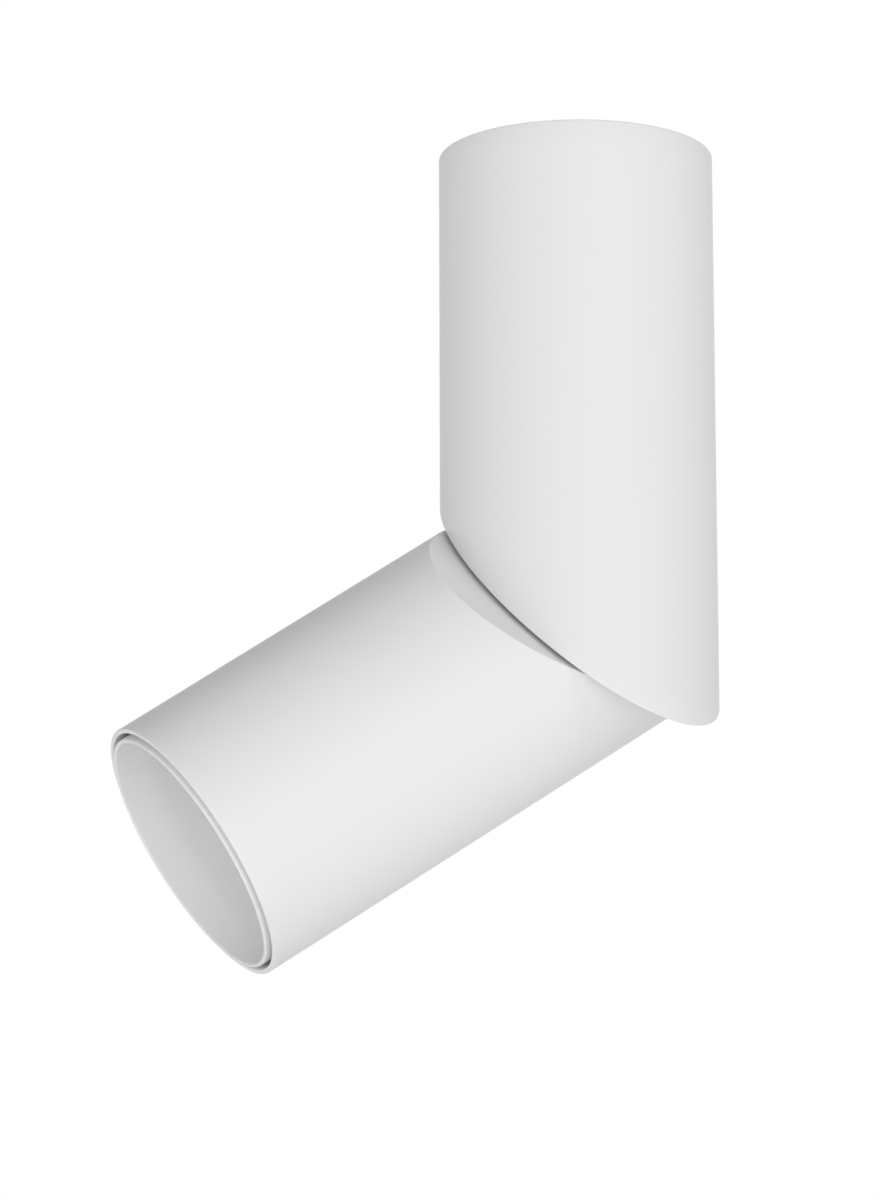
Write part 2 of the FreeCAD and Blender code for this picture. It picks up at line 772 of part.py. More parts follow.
def build_washers():
    hole = "pivot_diameter / 2 + running_clearance"
    ring("lock_washer", "lock_washer_diameter / 2", hole, "wall_to_boss", "upper_nut_seat", pivot_frame)
    ring("mitre_washer", "mitre_washer_diameter / 2", hole, "-mitre_gap", "0", pivot_frame)
    ring("inner_washer", "inner_washer_diameter / 2", hole,
         "-(spring_seat)", "-(head_boss_top)", pivot_frame)
    body = piece("spring_washer", pivot_frame)
    rim = "spring_washer_diameter / 2"
    corners = [
        (hole, "-(stop_washer_seat)"), (rim, "-(stop_washer_seat) + spring_washer_rise"),
        (rim, "-(spring_seat)"), (hole, "-(spring_seat) - spring_washer_rise"),
    ]
    turned(body, outline(body, "spring_washer_outline", corners))


def build_stop_washer():
    """Washer keyed to the pivot's flat, with the tab that the stop pin meets."""
    body = piece("stop_washer", pivot_frame)
    low = "-(lower_nut_seat)"
    pad(body, circles(body, "stop_washer_round", [("stop_washer_diameter", 0, 0)], lift=low),
        "stop_washer_thickness")
    reach = rectangle("stop_washer_diameter / 4", "-tab_width / 2", "tab_reach", "tab_width / 2")
    pad(body, outline(body, "stop_washer_tab", reach, "XY_Plane", lift=low), "stop_washer_thickness")
    hole = "pivot_diameter / 2 + running_clearance"
    flat = "pivot_diameter / 2 - pivot_flat + running_clearance"
    half = f"sqrt(({hole}) ^ 2 - ({flat}) ^ 2)"
    corners = [(f"-{half}", flat), (half, flat)]
    sketch = new_sketch(body, "keyed_hole", "XY_Plane", low)
    left = Vector(worked(corners[0][0]), worked(flat), 0)
    right = Vector(worked(corners[1][0]), worked(flat), 0)
    sketch.addGeometry(Part.LineSegment(left, right), False)
    sketch.addGeometry(Part.Arc(left, Vector(0, -worked(hole), 0), right), False)
    fix_point(sketch, 0, 1, corners[0])
    fix_point(sketch, 0, 2, corners[1])
    sketch.addConstraint(Sketcher.Constraint("Coincident", 0, 1, 1, 1))
    sketch.addConstraint(Sketcher.Constraint("Coincident", 0, 2, 1, 2))
    index = sketch.addConstraint(Sketcher.Constraint("Radius", 1, worked(hole)))
    bind(sketch, f"Constraints[{index}]", hole)
    pocket(body, sketch, up=True)
    return body


def build_lead_bushes():
    """Flanged bushes pushed in the pivot's two ends, to keep the thread off the lead."""
    body = piece("lead_bushes", pivot_frame)
    bore = "lead_diameter / 2 + loose_clearance"
    outer = "pivot_bore / 2 - running_clearance"
    flange = "bush_flange_diameter / 2"
    for name, end, way in (("upper", "pivot_top", "1"), ("lower", "-(pivot_end)", "-1")):
        inside = f"{end} - {way} * bush_length"
        outside = f"{end} + {way} * bush_flange_thickness"
        corners = [(bore, inside), (outer, inside), (outer, end), (flange, end),
                   (flange, outside), (bore, outside)]
        turned(body, outline(body, f"{name}_bush_outline", corners))
    return body


# ---------------------------------------------------------------- head

def build_head_tube():
    body = piece("head_tube", head_frame)
    mouth = "-head_length"
    stock = circles(body, "head_stock", [("tube_diameter", 0, 0)], lift=mouth)
    pad(body, stock, "head_length + tube_radius * tan(mitre_angle)")
    mitre = slanted_plane(body, "head_mitre_plane", "0")
    pocket(body, circles(body, "head_mitre", [("3 * tube_diameter", 0, 0)], mitre), up=True)
    inner = slanted_plane(body, "head_inner_plane", "0", "-mitre_wall")
    bore = circles(body, "head_bore", [("2 * bore_radius", 0, 0)], lift=mouth)
    pocket(body, bore, up=True, up_to=inner)
    pad(body, circles(body, "head_boss", [("boss_diameter", 0, 0)], inner), "boss_height", down=True)
    posts = [("bracket_boss_diameter", "screw_slope", f"{side} * flange_screw_spacing / 2")
             for side in (-1, 1)]
    pad(body, circles(body, "bracket_bosses", posts, inner), "bracket_boss_height", down=True)
    hole = circles(body, "head_pivot_hole", [("pivot_diameter + 2 * running_clearance", 0, 0)], inner)
    pocket(body, hole, "pivot_cut", both_ways=True)
    tapped = [("small_screw_diameter + 2 * running_clearance", across, up) for _, across, up in posts]
    top = slanted_plane(body, "bracket_boss_plane", "0", "-(mitre_wall + bracket_boss_height)")
    pocket(body, circles(body, "tapped_holes", tapped, top), "tapped_depth", up=True)
    seat = circles(body, "stop_pin_hole", [("stop_pin_diameter + 2 * running_clearance",
                                            0, "-stop_pin_distance")], inner)
    pocket(body, seat, "stop_pin_seat", up=True)
    rounded(body, "head_mitre_round", "mitre_round", mitre_edge("tube_radius", "0"))
    rounded(body, "mouth_outer_round", "mouth_round", circle_at("tube_radius", mouth))
    rounded(body, "mouth_inner_round", "mouth_round", circle_at("bore_radius", mouth))
    return body


def build_stop_pin():
    body = piece("stop_pin", head_pivot_frame)
    sketch = circles(body, "stop_pin_round", [("stop_pin_diameter", 0, "-stop_pin_distance")],
                     lift="-mitre_wall + stop_pin_seat")
    pad(body, sketch, "stop_pin_seat + lower_nut_seat - mitre_gap - mitre_wall + stop_pin_projection",
        down=True)
    return body


def build_lamp_bracket():
    """Bent strip: a flange screwed along the mitre wall, and a level seat for the lampholder."""
    body = piece("lamp_bracket", head_frame)
    thick = "bracket_thickness"
    far_x = "bend_back + flange_length * cos(mitre_angle)"
    far_z = "-seat_depth - flange_length * sin(mitre_angle)"
    corners = [
        ("-seat_reach", "-seat_depth"), ("bend_back", "-seat_depth"), (far_x, far_z),
        (f"{far_x} - {thick} * sin(mitre_angle)", f"{far_z} - {thick} * cos(mitre_angle)"),
        ("bend_front", f"-seat_depth - {thick}"), ("-seat_reach", f"-seat_depth - {thick}"),
    ]
    strip = outline(body, "bracket_outline", corners)
    pad(body, strip, "bracket_width", both_ways=True)
    seat_holes = [("small_screw_diameter + loose_clearance", 0, f"{side} * holder_screw_spacing / 2")
                  for side in (-1, 1)]
    pocket(body, circles(body, "seat_holes", seat_holes, lift="-seat_depth"), "2 * bracket_thickness")
    back = slanted_plane(body, "flange_back_plane", "0", "-(mitre_wall + bracket_boss_height)")
    flange_holes = [("small_screw_diameter + loose_clearance", "screw_slope",
                     f"{side} * flange_screw_spacing / 2") for side in (-1, 1)]
    pocket(body, circles(body, "flange_holes", flange_holes, back), "2 * bracket_thickness")

    def inner_bend(edge):
        middle = edge.CenterOfMass
        return near(edge.Length, "bracket_width") and near(middle.x, "bend_front")

    def outer_bend(edge):
        middle = edge.CenterOfMass
        return near(edge.Length, "bracket_width") and near(middle.x, "bend_back")

    rounded(body, "inner_bend", "bracket_bend", inner_bend)
    rounded(body, "outer_bend", "bracket_bend + bracket_thickness", outer_bend)
    return body


def build_screws(label, places, on, head_seat, point_way):
    """Small pan-head screws: heads on one side of head_seat, shanks on the other."""
    body = piece(label, on)
    heads = [("small_screw_head_diameter", *place) for place in places]
    shanks = [("small_screw_diameter", *place) for place in places]
    downwards = point_way < 0
    pad(body, circles(body, label + "_heads", heads, lift=head_seat), "small_screw_head_height",
        down=not downwards)
    pad(body, circles(body, label + "_shanks", shanks, lift=head_seat),
        "bracket_thickness + small_screw_grip", down=downwards)
    rim = "small_screw_head_diameter / 2"
    rounded(body, label + "_round", "small_screw_head_height / 3",
            lambda edge: isinstance(edge.Curve, Part.Circle) and near(edge.Curve.Radius, rim)
            and near(edge.Curve.Center.z, f"{head_seat} - {point_way} * small_screw_head_height"))
    return body


def build_bracket_screws():
    places = [("screw_slope", f"{side} * flange_screw_spacing / 2") for side in (-1, 1)]
    seat = "-(mitre_wall + bracket_boss_height + bracket_thickness)"
    return build_screws("bracket_screws", places, head_pivot_frame, seat, 1)


def build_holder_screws():
    places = [("0", f"{side} * holder_screw_spacing / 2") for side in (-1, 1)]
    return build_screws("holder_screws", places, head_frame, "-seat_depth", -1)


def build_lampholder():
    body = piece("lampholder", head_frame)
    radius = "holder_diameter / 2"
    corners = rectangle("0", "-(holder_end)", radius, "-(holder_top)")
    turned(body, outline(body, "holder_outline", corners))
    rounded(body, "holder_top_round", "holder_round", circle_at(radius, "-(holder_top)"))
    rounded(body, "holder_end_round", "holder_round", circle_at(radius, "-(holder_end)"))
    tapped = [("small_screw_diameter + 2 * running_clearance", 0, f"{side} * holder_screw_spacing / 2")
              for side in (-1, 1)]
    pocket(body, circles(body, "holder_tapped", tapped, lift="-(holder_top)"), "tapped_depth")
    wells = [("pin_head_diameter + 4 * loose_clearance", f"{side} * pin_spacing / 2", 0)
             for side in (-1, 1)]
    pocket(body, circles(body, "pin_wells", wells, lift="-(holder_end)"), "pin_length + pin_well_margin",
           up=True)
    entry = new_sketch(body, "lead_entry", "YZ_Plane", f"-({radius})")
    centre = Vector(0, -worked("holder_top + holder_lead_drop"), 0)
    entry.addGeometry(Part.Circle(centre, Vector(0, 0, 1), worked("lead_hole_radius")), False)
    index = entry.addConstraint(Sketcher.Constraint("Radius", 0, worked("lead_hole_radius")))
    bind(entry, f"Constraints[{index}]", "lead_hole_radius")
    fix_point(entry, 0, 3, ("0", "-(holder_top + holder_lead_drop)"))
    pocket(body, entry, "lead_diameter", up=True)
    return body


def build_head_lead():
    """From the pivot, past the edge of the seat, and into the side of the lampholder."""
    across = "sin(mitre_angle)"
    along = "cos(mitre_angle)"
    clear = "(seat_reach + lead_diameter / 2 + lead_clearance)"
    level = "-(holder_top + holder_lead_drop)"
    route = [
        (f"mitre_gap / 2 * {across}", "0", f"mitre_gap / 2 * {along}"),
        (f"-({clear})", "0", f"-({clear}) / tan(mitre_angle)"),
        (f"-({clear}) - lead_clearance / 3", "0", f"{level} + 1.5 * lead_clearance"),
        (f"-({clear}) + lead_clearance * 2 / 3", "0", level),
        ("-holder_diameter / 2 + lead_diameter", "0", level),
    ]
    return lead("head_lead", route, head_frame)


# ---------------------------------------------------------------- lamp

def build_lamp_body():
    body = piece("lamp_body", head_frame)
    base = "-(holder_end)"
    front = "-(lamp_front)"
    rim = "lamp_diameter / 2"
    opening = "lamp_diameter / 2 - lamp_bezel"
    corners = [
        ("0", base), ("lamp_base_diameter / 2", base),
        ("lamp_neck_diameter / 2", f"{base} - lamp_neck_height"),
        (rim, f"{front} + lamp_rim_height"), (rim, front), (opening, front),
        (opening, f"{front} + lens_thickness"), ("0", f"{front} + lens_thickness"),
    ]
    arcs = {2: ("lamp_length", 1)}
    turned(body, outline(body, "lamp_outline", corners, arcs=arcs))
    return body


def build_lamp_lens():
    body = piece("lamp_lens", head_frame)
    radius = "lamp_diameter / 2 - lamp_bezel - running_clearance"
    front = "-(lamp_front)"
    corners = rectangle("0", front, radius, f"{front} + lens_thickness")
    turned(body, outline(body, "lens_outline", corners))
    rounded(body, "lens_round", "lens_thickness / 3", circle_at(radius, front))
    return body


def build_lamp_pins():
    body = piece("lamp_pins", head_frame)
    base = "-(holder_end)"
    places = [(f"{side} * pin_spacing / 2", "0") for side in (-1, 1)]
    shanks = [("pin_shank_diameter", *place) for place in places]
    heads = [("pin_head_diameter", *place) for place in places]
    pad(body, circles(body, "pin_shanks", shanks, lift=base), "pin_length")
    pad(body, circles(body, "pin_heads", heads, lift=f"{base} + pin_length - pin_head_height"),
        "pin_head_height")
    return body


# ---------------------------------------------------------------- front baffle

def build_front_baffle():
    """Deep ring with a round lip, a straight sleeve and a cone that closes on the lamp."""
    body = piece("front_baffle", head_frame)
    front = "-(lip_front)"
    step = "-(lip_front) + lip_height"
    corners = [
        ("lip_inner", front), ("lip_outer", front), ("lip_outer", step), ("sleeve_outer", step),
        ("sleeve_outer", "-(sleeve_back)"), ("cone_inner + sleeve_wall", "-(cone_back) + sleeve_wall"),
        ("cone_inner", "-(cone_back) + sleeve_wall"), ("cone_inner", "-(cone_back)"),
        ("sleeve_inner", "-(sleeve_back) - sleeve_wall / 2"),
    ]
    turned(body, outline(body, "baffle_outline", corners))
    rounded(body, "lip_outer_round", "lip_round", circle_at("lip_outer", front))
    rounded(body, "lip_inner_round", "lip_round", circle_at("lip_inner", front))
    studs = stud_sketch(body, "stud_hole", "stud_diameter + 2 * running_clearance", "sleeve_outer")
    drilled = pocket(body, studs, "stud_seat")
    around(body, "stud_holes", [drilled], "spring_count")
    return body


def stud_sketch(body, name, diameter, distance):
    """A circle facing out of the sleeve at the spring's upper foot."""
    sketch = new_sketch(body, name, "YZ_Plane", distance)
    height = "-(head_length) + spring_depth + spring_span / 2 + spring_foot / 2"
    sketch.addGeometry(Part.Circle(Vector(0, worked(height), 0), Vector(0, 0, 1),
                                   worked(diameter) / 2), False)
    index = sketch.addConstraint(Sketcher.Constraint("Diameter", 0, worked(diameter)))
    bind(sketch, f"Constraints[{index}]", diameter)
    fix_point(sketch, 0, 3, ("0", height))
    return sketch


def build_baffle_springs():
    """Thin strips along the sleeve, bowed out so that they grip the tube's bore."""
    body = piece("baffle_springs", head_frame)
    middle = "-(head_length) + spring_depth"
    inside = "sleeve_outer"
    outside = "sleeve_outer + spring_strip"
    half = "spring_span / 2"
    foot = "spring_span / 2 + spring_foot"
    bow = "((spring_span ^ 2 / 4 + spring_rise ^ 2) / (2 * spring_rise))"
    back_bow = f"({bow} - spring_strip)"
    back_half = f"sqrt({back_bow} ^ 2 - ({bow} - spring_rise - spring_strip) ^ 2)"
    corners = [
        (inside, f"{middle} - ({foot})"), (outside, f"{middle} - ({foot})"),
        (outside, f"{middle} - {half}"), (outside, f"{middle} + {half}"),
        (outside, f"{middle} + {foot}"), (inside, f"{middle} + {foot}"),
        (inside, f"{middle} + {back_half}"), (inside, f"{middle} - {back_half}"),
    ]
    arcs = {2: (bow, -1), 6: (back_bow, 1)}
    strip = pad(body, outline(body, "strip_outline", corners, arcs=arcs), "spring_strip_width",
                both_ways=True)
    hole = stud_sketch(body, "strip_hole", "stud_diameter + 2 * running_clearance", outside)
    drilled = pocket(body, hole, "2 * spring_strip")
    around(body, "spring_set", [strip, drilled], "spring_count")
    return body


def build_baffle_studs():
    body = piece("baffle_studs", head_frame)
    shank = pad(body, stud_sketch(body, "stud_shank", "stud_diameter", "sleeve_outer - stud_seat"),
                "stud_seat + spring_strip")
    head = pad(body, stud_sketch(body, "stud_head", "stud_head_diameter",
                                 "sleeve_outer + spring_strip"), "stud_head_height")
    around(body, "stud_set", [shank, head], "spring_count")
    return body


# ---------------------------------------------------------------- build, check and write

build_ceiling_plate()
build_cable_grommet()
build_terminal_block()
build_terminal_screws()
build_earth_screw()
build_spring_clips()
build_clip_rivets()
build_stop_post()
build_supply_lead()
build_upper_tube()
build_swivel_ring()
build_upper_lead()
build_pivot_tube()
build_nut("upper_pivot_nut", "upper_nut_seat")
build_nut("lower_pivot_nut", "-(lower_nut_end)")
build_washers()
build_stop_washer()
build_lead_bushes()
build_head_tube()
build_stop_pin()
build_lamp_bracket()
build_bracket_screws()
build_holder_screws()
build_lampholder()
build_head_lead()
build_lamp_body()
build_lamp_lens()
build_lamp_pins()
build_front_baffle()
build_baffle_springs()
build_baffle_studs()

doc.recompute()

for thing in doc.Objects:
    if "Invalid" in thing.State or "Error" in thing.State:
        raise ValueError(f"{thing.Name} failed: {thing.State}")
for made in PIECES:
    if made.Shape.isNull() or not made.Shape.isValid():
        raise ValueError(f"{made.Label} has no valid shape")

os.makedirs("parts", exist_ok=True)
for made in PIECES:
    made.Shape.exportStep(f"parts/{made.Label}.step")
    box = made.Shape.BoundBox
    print(f"{made.Label}: {len(made.Shape.Solids)} solids, {made.Shape.Volume:.0f} mm3, "
          f"x {box.XMin:.1f} to {box.XMax:.1f}, y {box.YMin:.1f} to {box.YMax:.1f}, "
          f"z {box.ZMin:.1f} to {box.ZMax:.1f}")
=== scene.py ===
# %% [markdown]
# # A ceiling spotlight with a mitre swivel
#
# The light is two white tubes of one diameter. The upper one stands on the ceiling, and its lower
# end is closed by a flat face at 45 degrees. The head sits on that face with the same cut and turns
# on it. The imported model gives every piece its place. This script gives each one its surface, and
# makes the shapes that are seen from close by as smooth surfaces worked out from formulas.

# %% Load the frame
import json
import math

import bmesh
import bpy
import numpy as np
from mathutils import Matrix, Vector


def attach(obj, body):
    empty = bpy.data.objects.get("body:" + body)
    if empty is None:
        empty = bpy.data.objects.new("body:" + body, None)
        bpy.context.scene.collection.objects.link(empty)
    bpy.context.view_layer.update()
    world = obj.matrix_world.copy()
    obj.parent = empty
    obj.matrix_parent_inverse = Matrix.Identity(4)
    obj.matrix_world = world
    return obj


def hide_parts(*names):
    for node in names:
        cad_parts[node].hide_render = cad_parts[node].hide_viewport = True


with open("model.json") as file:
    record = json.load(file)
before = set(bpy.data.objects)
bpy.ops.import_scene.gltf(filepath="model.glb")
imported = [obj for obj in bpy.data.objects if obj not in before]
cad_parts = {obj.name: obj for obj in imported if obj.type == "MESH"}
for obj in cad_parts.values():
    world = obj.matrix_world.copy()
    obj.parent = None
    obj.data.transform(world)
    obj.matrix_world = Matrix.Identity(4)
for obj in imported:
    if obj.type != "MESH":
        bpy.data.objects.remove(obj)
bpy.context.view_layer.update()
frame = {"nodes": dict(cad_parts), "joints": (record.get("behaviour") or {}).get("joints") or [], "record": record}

# %% [markdown]
# ## Sizes and directions
#
# A render and a CAD model agree only if both read the same numbers. The pivot point, the pivot axis
# and the head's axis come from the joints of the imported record, and the few sizes below are the
# real ones, in metres.

# %% Read the axes from the joints
MM = 0.001
joints = {joint["name"]: joint for joint in frame["joints"]}
pivot_point = np.array(joints["mitre_swivel"]["pos_m"])
pivot_axis = np.array(joints["mitre_swivel"]["axis"])
pivot_axis = pivot_axis / np.linalg.norm(pivot_axis)
head_axis = np.array(joints["baffle_pull"]["axis"])
print("head axis", head_axis.round(4), "pivot axis", pivot_axis.round(4))

# %% Sizes of the tubes
TUBE_RADIUS = 40 * MM
TUBE_WALL = 1.5 * MM
BORE_RADIUS = TUBE_RADIUS - TUBE_WALL
CEILING_CLEARANCE = 0.5 * MM
HEAD_LENGTH = 135.5 * MM
MITRE_WALL = 3 * MM
MITRE_GAP = 1.2 * MM
MITRE_ROUND = 0.3 * MM
RIM_ROUND = 0.4 * MM
PIVOT_HOLE_RADIUS = 5.05 * MM
BOSS_RADIUS = 12 * MM
BOSS_HEIGHT = 3 * MM
upper_length = -pivot_point[2] - CEILING_CLEARANCE
print("upper tube", round(upper_length / MM, 2), "mm from rim to mitre centre")

# %% [markdown]
# ## Camera
#
# The camera stands where the photograph was taken from, a little below the light and some way off,
# with a long lens. It could be aimed with a Track To constraint, but that keeps the object in the
# middle of the frame, and in the photograph it isn't. So the camera's three axes come from an
# azimuth, an elevation and a small roll, and the pivot's place along those axes says how far off
# and how far aside the camera is.

# %% Camera at the photograph's viewing angle
VIEW_AZIMUTH = math.radians(43.2088)
VIEW_ELEVATION = math.radians(-12.5751)
VIEW_ROLL = math.radians(-0.1618)
PIVOT_OFFSET = np.array([40.0535, -2.3132, -1622.4278]) * MM
FOCAL_PIXELS = 5633.29
FRAME_HEIGHT_PIXELS = 1200
SENSOR = 36.0
CAMERA_REACH = 100


def camera_axes(azimuth, elevation, roll):
    """Right, up and back of a camera: back = (sin a cos e, -cos a cos e, sin e), then a roll."""
    back = np.array([math.sin(azimuth) * math.cos(elevation),
                     -math.cos(azimuth) * math.cos(elevation), math.sin(elevation)])
    level = np.array([math.cos(azimuth), math.sin(azimuth), 0.0])
    upright = np.cross(back, level)
    right = math.cos(roll) * level + math.sin(roll) * upright
    up = math.cos(roll) * upright - math.sin(roll) * level
    return np.array([right, up, back])


axes = camera_axes(VIEW_AZIMUTH, VIEW_ELEVATION, VIEW_ROLL)
camera_place = pivot_point - axes.T @ PIVOT_OFFSET
camera_data = bpy.data.cameras.new("photo_camera")
camera_data.sensor_width = SENSOR
camera_data.lens = FOCAL_PIXELS * SENSOR / FRAME_HEIGHT_PIXELS
camera_data.clip_end = CAMERA_REACH
camera = bpy.data.objects.new("photo_camera", camera_data)
bpy.context.scene.collection.objects.link(camera)
turn = Matrix(axes.T.tolist()).to_4x4()
camera.matrix_world = Matrix.Translation(Vector(camera_place)) @ turn
bpy.context.scene.camera = camera
print("camera at", camera_place.round(3), "lens", round(camera_data.lens, 1))

# %% [markdown]
# ## Surfaces from rows of points
#
# Every new piece here is a sheet of quads between rows of points. A row runs once round the piece,
# and the rows follow the piece's outline from one end to the other. Boolean cuts could make the
# same shapes from cylinders, but they leave long thin faces that shade badly. Here numpy works out
# all rows at once, and the quads between them follow the surface.

# %% Quads between rows
AROUND = 256
angles = np.linspace(0, 2 * np.pi, AROUND, endpoint=False)


def quads(rows_count, around_count, closed):
    """Corner numbers of the quads between neighbouring rows, and round from last to first."""
    row, column = np.meshgrid(np.arange(rows_count if closed else rows_count - 1),
                              np.arange(around_count), indexing="ij")
    next_row = (row + 1) % rows_count
    next_column = (column + 1) % around_count
    corners = [row * around_count + column, next_row * around_count + column,
               next_row * around_count + next_column, row * around_count + next_column]
    return np.stack(corners, axis=-1).reshape(-1, 4)


def signed_volume(points, faces):
    """Volume inside a closed mesh, negative if its faces point inwards."""
    first, second, third, fourth = (points[faces[:, corner]] for corner in range(4))
    halves = np.einsum("ij,ij->i", first, np.cross(second, third))
    halves += np.einsum("ij,ij->i", first, np.cross(third, fourth))
    return halves.sum() / 6


print(AROUND, "points in a row,", len(quads(2, AROUND, closed=False)), "quads between two rows")

# %% One piece from its sheets
SHARP_ANGLE = math.radians(32)
MERGE_DISTANCE = 1e-7


def piece_from_rows(name, sheets, body, replaced_node, closed=True):
    """A piece made of one or more sheets, each an array of rows, points and x y z.

    A closed sheet's last row joins its first one. A sheet that isn't closed starts and ends in a
    row of no radius, whose points are merged to one pole.
    """
    point_sets = []
    face_sets = []
    count = 0
    for rows in sheets:
        points = rows.reshape(-1, 3)
        faces = quads(rows.shape[0], rows.shape[1], closed)
        if signed_volume(points, faces) < 0:
            faces = faces[:, ::-1]
        point_sets.append(points)
        face_sets.append(faces + count)
        count += len(points)
    mesh = bpy.data.meshes.new(name)
    mesh.from_pydata(np.concatenate(point_sets).tolist(), [], np.concatenate(face_sets).tolist())
    shape = bmesh.new()
    shape.from_mesh(mesh)
    bmesh.ops.remove_doubles(shape, verts=shape.verts, dist=MERGE_DISTANCE)
    bmesh.ops.dissolve_degenerate(shape, edges=shape.edges, dist=MERGE_DISTANCE)
    shape.to_mesh(mesh)
    shape.free()
    mesh.shade_smooth()
    mesh.set_sharp_from_angle(angle=SHARP_ANGLE)
    made = bpy.data.objects.new(name, mesh)
    bpy.context.scene.collection.objects.link(made)
    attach(made, body)
    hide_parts(replaced_node)
    print(name, len(mesh.polygons), "faces")
    return made


print("edges of more than", round(math.degrees(SHARP_ANGLE)), "degrees stay sharp")

# %% [markdown]
# ## The mitred tube
#
# In its own frame a tube has its mitre face through the origin, square to `FACE_NORMAL`, and its
# open rim up +Z. Its rows are of three kinds: level circles on the walls, circles about the pivot
# on the mitre face, and the ellipses where a wall meets the face.

# %% Rows of a mitred tube
MITRE_ANGLE = math.radians(45)
FACE_NORMAL = np.array([math.sin(MITRE_ANGLE), 0, math.cos(MITRE_ANGLE)])
FACE_SLOPE = np.array([math.cos(MITRE_ANGLE), 0, -math.sin(MITRE_ANGLE)])
ACROSS = np.array([0.0, 1.0, 0.0])


def level_row(radius, height):
    """Circle about Z: (r cos t, r sin t, height)."""
    return np.stack([radius * np.cos(angles), radius * np.sin(angles),
                     np.full(AROUND, height)], axis=-1)


def face_row(radius, offset):
    """Circle about the pivot, on the plane that lies offset inside the mitre face."""
    out = np.outer(np.cos(angles), FACE_SLOPE) + np.outer(np.sin(angles), ACROSS)
    return offset * FACE_NORMAL + radius * out


def meeting_row(radius, offset):
    """Ellipse where a wall meets that plane: x sin a + z cos a = offset on x = r cos t."""
    row = level_row(radius, 0)
    row[:, 2] = (offset - row[:, 0] * math.sin(MITRE_ANGLE)) / math.cos(MITRE_ANGLE)
    return row


face_size = np.ptp(meeting_row(TUBE_RADIUS, 0), axis=0)
print("mitre face", round(math.hypot(face_size[0], face_size[2]) / MM, 1), "mm long and",
      round(face_size[1] / MM, 1), "mm wide")

# %% [markdown]
# ## Rounded edges
#
# Painted edges are never quite sharp, and the thin line of light on them is what makes a tube look
# real. The edge between wall and mitre face has a different angle all the way round, from 45 to 135
# degrees. A Bevel modifier gives an edge one width, which is one radius only where the angle stays
# the same. So the arc is worked out at every angle from the two directions that it joins.

# %% Arcs and straight stretches between rows
def unit(vectors):
    """The same directions, each one unit long."""
    return vectors / np.linalg.norm(vectors, axis=-1, keepdims=True)


def rounded_rows(corner, towards_first, towards_second, radius, steps):
    """Arcs of one radius that join two directions at each corner point.

    With an angle w between the directions, the arc starts r / tan(w / 2) along the first one, and
    its centre lies r / sin(w / 2) along their middle.
    """
    middle = unit(towards_first + towards_second)
    half = np.arccos(np.clip(np.einsum("ij,ij->i", middle, towards_first), -1, 1))[:, None]
    centre = corner + middle * radius / np.sin(half)
    first = corner + towards_first * radius / np.tan(half) - centre
    second = corner + towards_second * radius / np.tan(half) - centre
    swept = np.pi - 2 * half
    share = np.linspace(0, 1, steps)[:, None, None]
    arc = np.sin((1 - share) * swept) * first + np.sin(share * swept) * second
    return centre + arc / np.sin(swept)


def blend_rows(first, last, steps):
    """Straight rows between two rows, both ends left out."""
    share = np.linspace(0, 1, steps + 2)[1:-1, None, None]
    return first * (1 - share) + last * share


square_corner = rounded_rows(np.zeros((1, 3)), np.array([[1.0, 0, 0]]), np.array([[0, 0, 1.0]]),
                             radius=1.0, steps=3)
print("round of a square corner", square_corner[:, 0].round(3).tolist())

# %% Rows of a plain rounded rim
def rim_rows(outer, inner, height, radius, steps=5):
    """Rim of a tube at one height: quarter circle, flat, quarter circle, outside to inside."""
    quarter = np.linspace(0, np.pi / 2, steps)
    inset = radius - radius * np.cos(quarter)
    level = height - radius + radius * np.sin(quarter)
    outside = [level_row(outer - aside, up) for aside, up in zip(inset, level)]
    inside = [level_row(inner + aside, up) for aside, up in zip(inset[::-1], level[::-1])]
    return np.array(outside + inside)


rim_points = rim_rows(TUBE_RADIUS, BORE_RADIUS, 0, RIM_ROUND)
print("rim of", len(rim_points), "rows,", round(RIM_ROUND / MM, 2), "mm round")

# %% The whole mitred tube as one closed sheet
EDGE_STEPS = 9
FACE_STEPS = 14
WALL_STEPS = 24
INNER_FACE_STEPS = 8


def mitred_tube(length):
    """Pivot hole, mitre face, rounded edge, wall, rim, bore, inner face and boss, in that order."""
    hole_edge = face_row(PIVOT_HOLE_RADIUS, 0)
    radial = level_row(1, 0)
    rise = np.outer(np.cos(angles) * math.tan(MITRE_ANGLE), [0, 0, 1])
    upward = np.broadcast_to(np.array([0.0, 0.0, 1.0]), radial.shape)
    edge = rounded_rows(meeting_row(TUBE_RADIUS, 0), unit(rise - radial), upward, MITRE_ROUND,
                        EDGE_STEPS)
    rim = rim_rows(TUBE_RADIUS, BORE_RADIUS, length, RIM_ROUND)
    bore_end = meeting_row(BORE_RADIUS, MITRE_WALL)
    boss_foot = face_row(BOSS_RADIUS, MITRE_WALL)
    return np.concatenate([
        hole_edge[None],
        blend_rows(hole_edge, edge[0], FACE_STEPS),
        edge,
        blend_rows(edge[-1], rim[0], WALL_STEPS),
        rim,
        blend_rows(rim[-1], bore_end, WALL_STEPS),
        bore_end[None],
        blend_rows(bore_end, boss_foot, INNER_FACE_STEPS),
        boss_foot[None],
        face_row(BOSS_RADIUS, MITRE_WALL + BOSS_HEIGHT)[None],
        face_row(PIVOT_HOLE_RADIUS, MITRE_WALL + BOSS_HEIGHT)[None],
    ])


upper_rows = mitred_tube(upper_length) + pivot_point
print("upper tube", len(upper_rows), "rows, lowest point", round(upper_rows[..., 2].min(), 4), "m")

# %% [markdown]
# ## Upper tube
#
# The tube and its slanted end face are one painted piece, with no seam, so they are one sheet. Its
# open end stands half a millimetre off the ceiling so that it can turn. Its rows are worked out
# about the pivot, and the pivot's place is added to them.

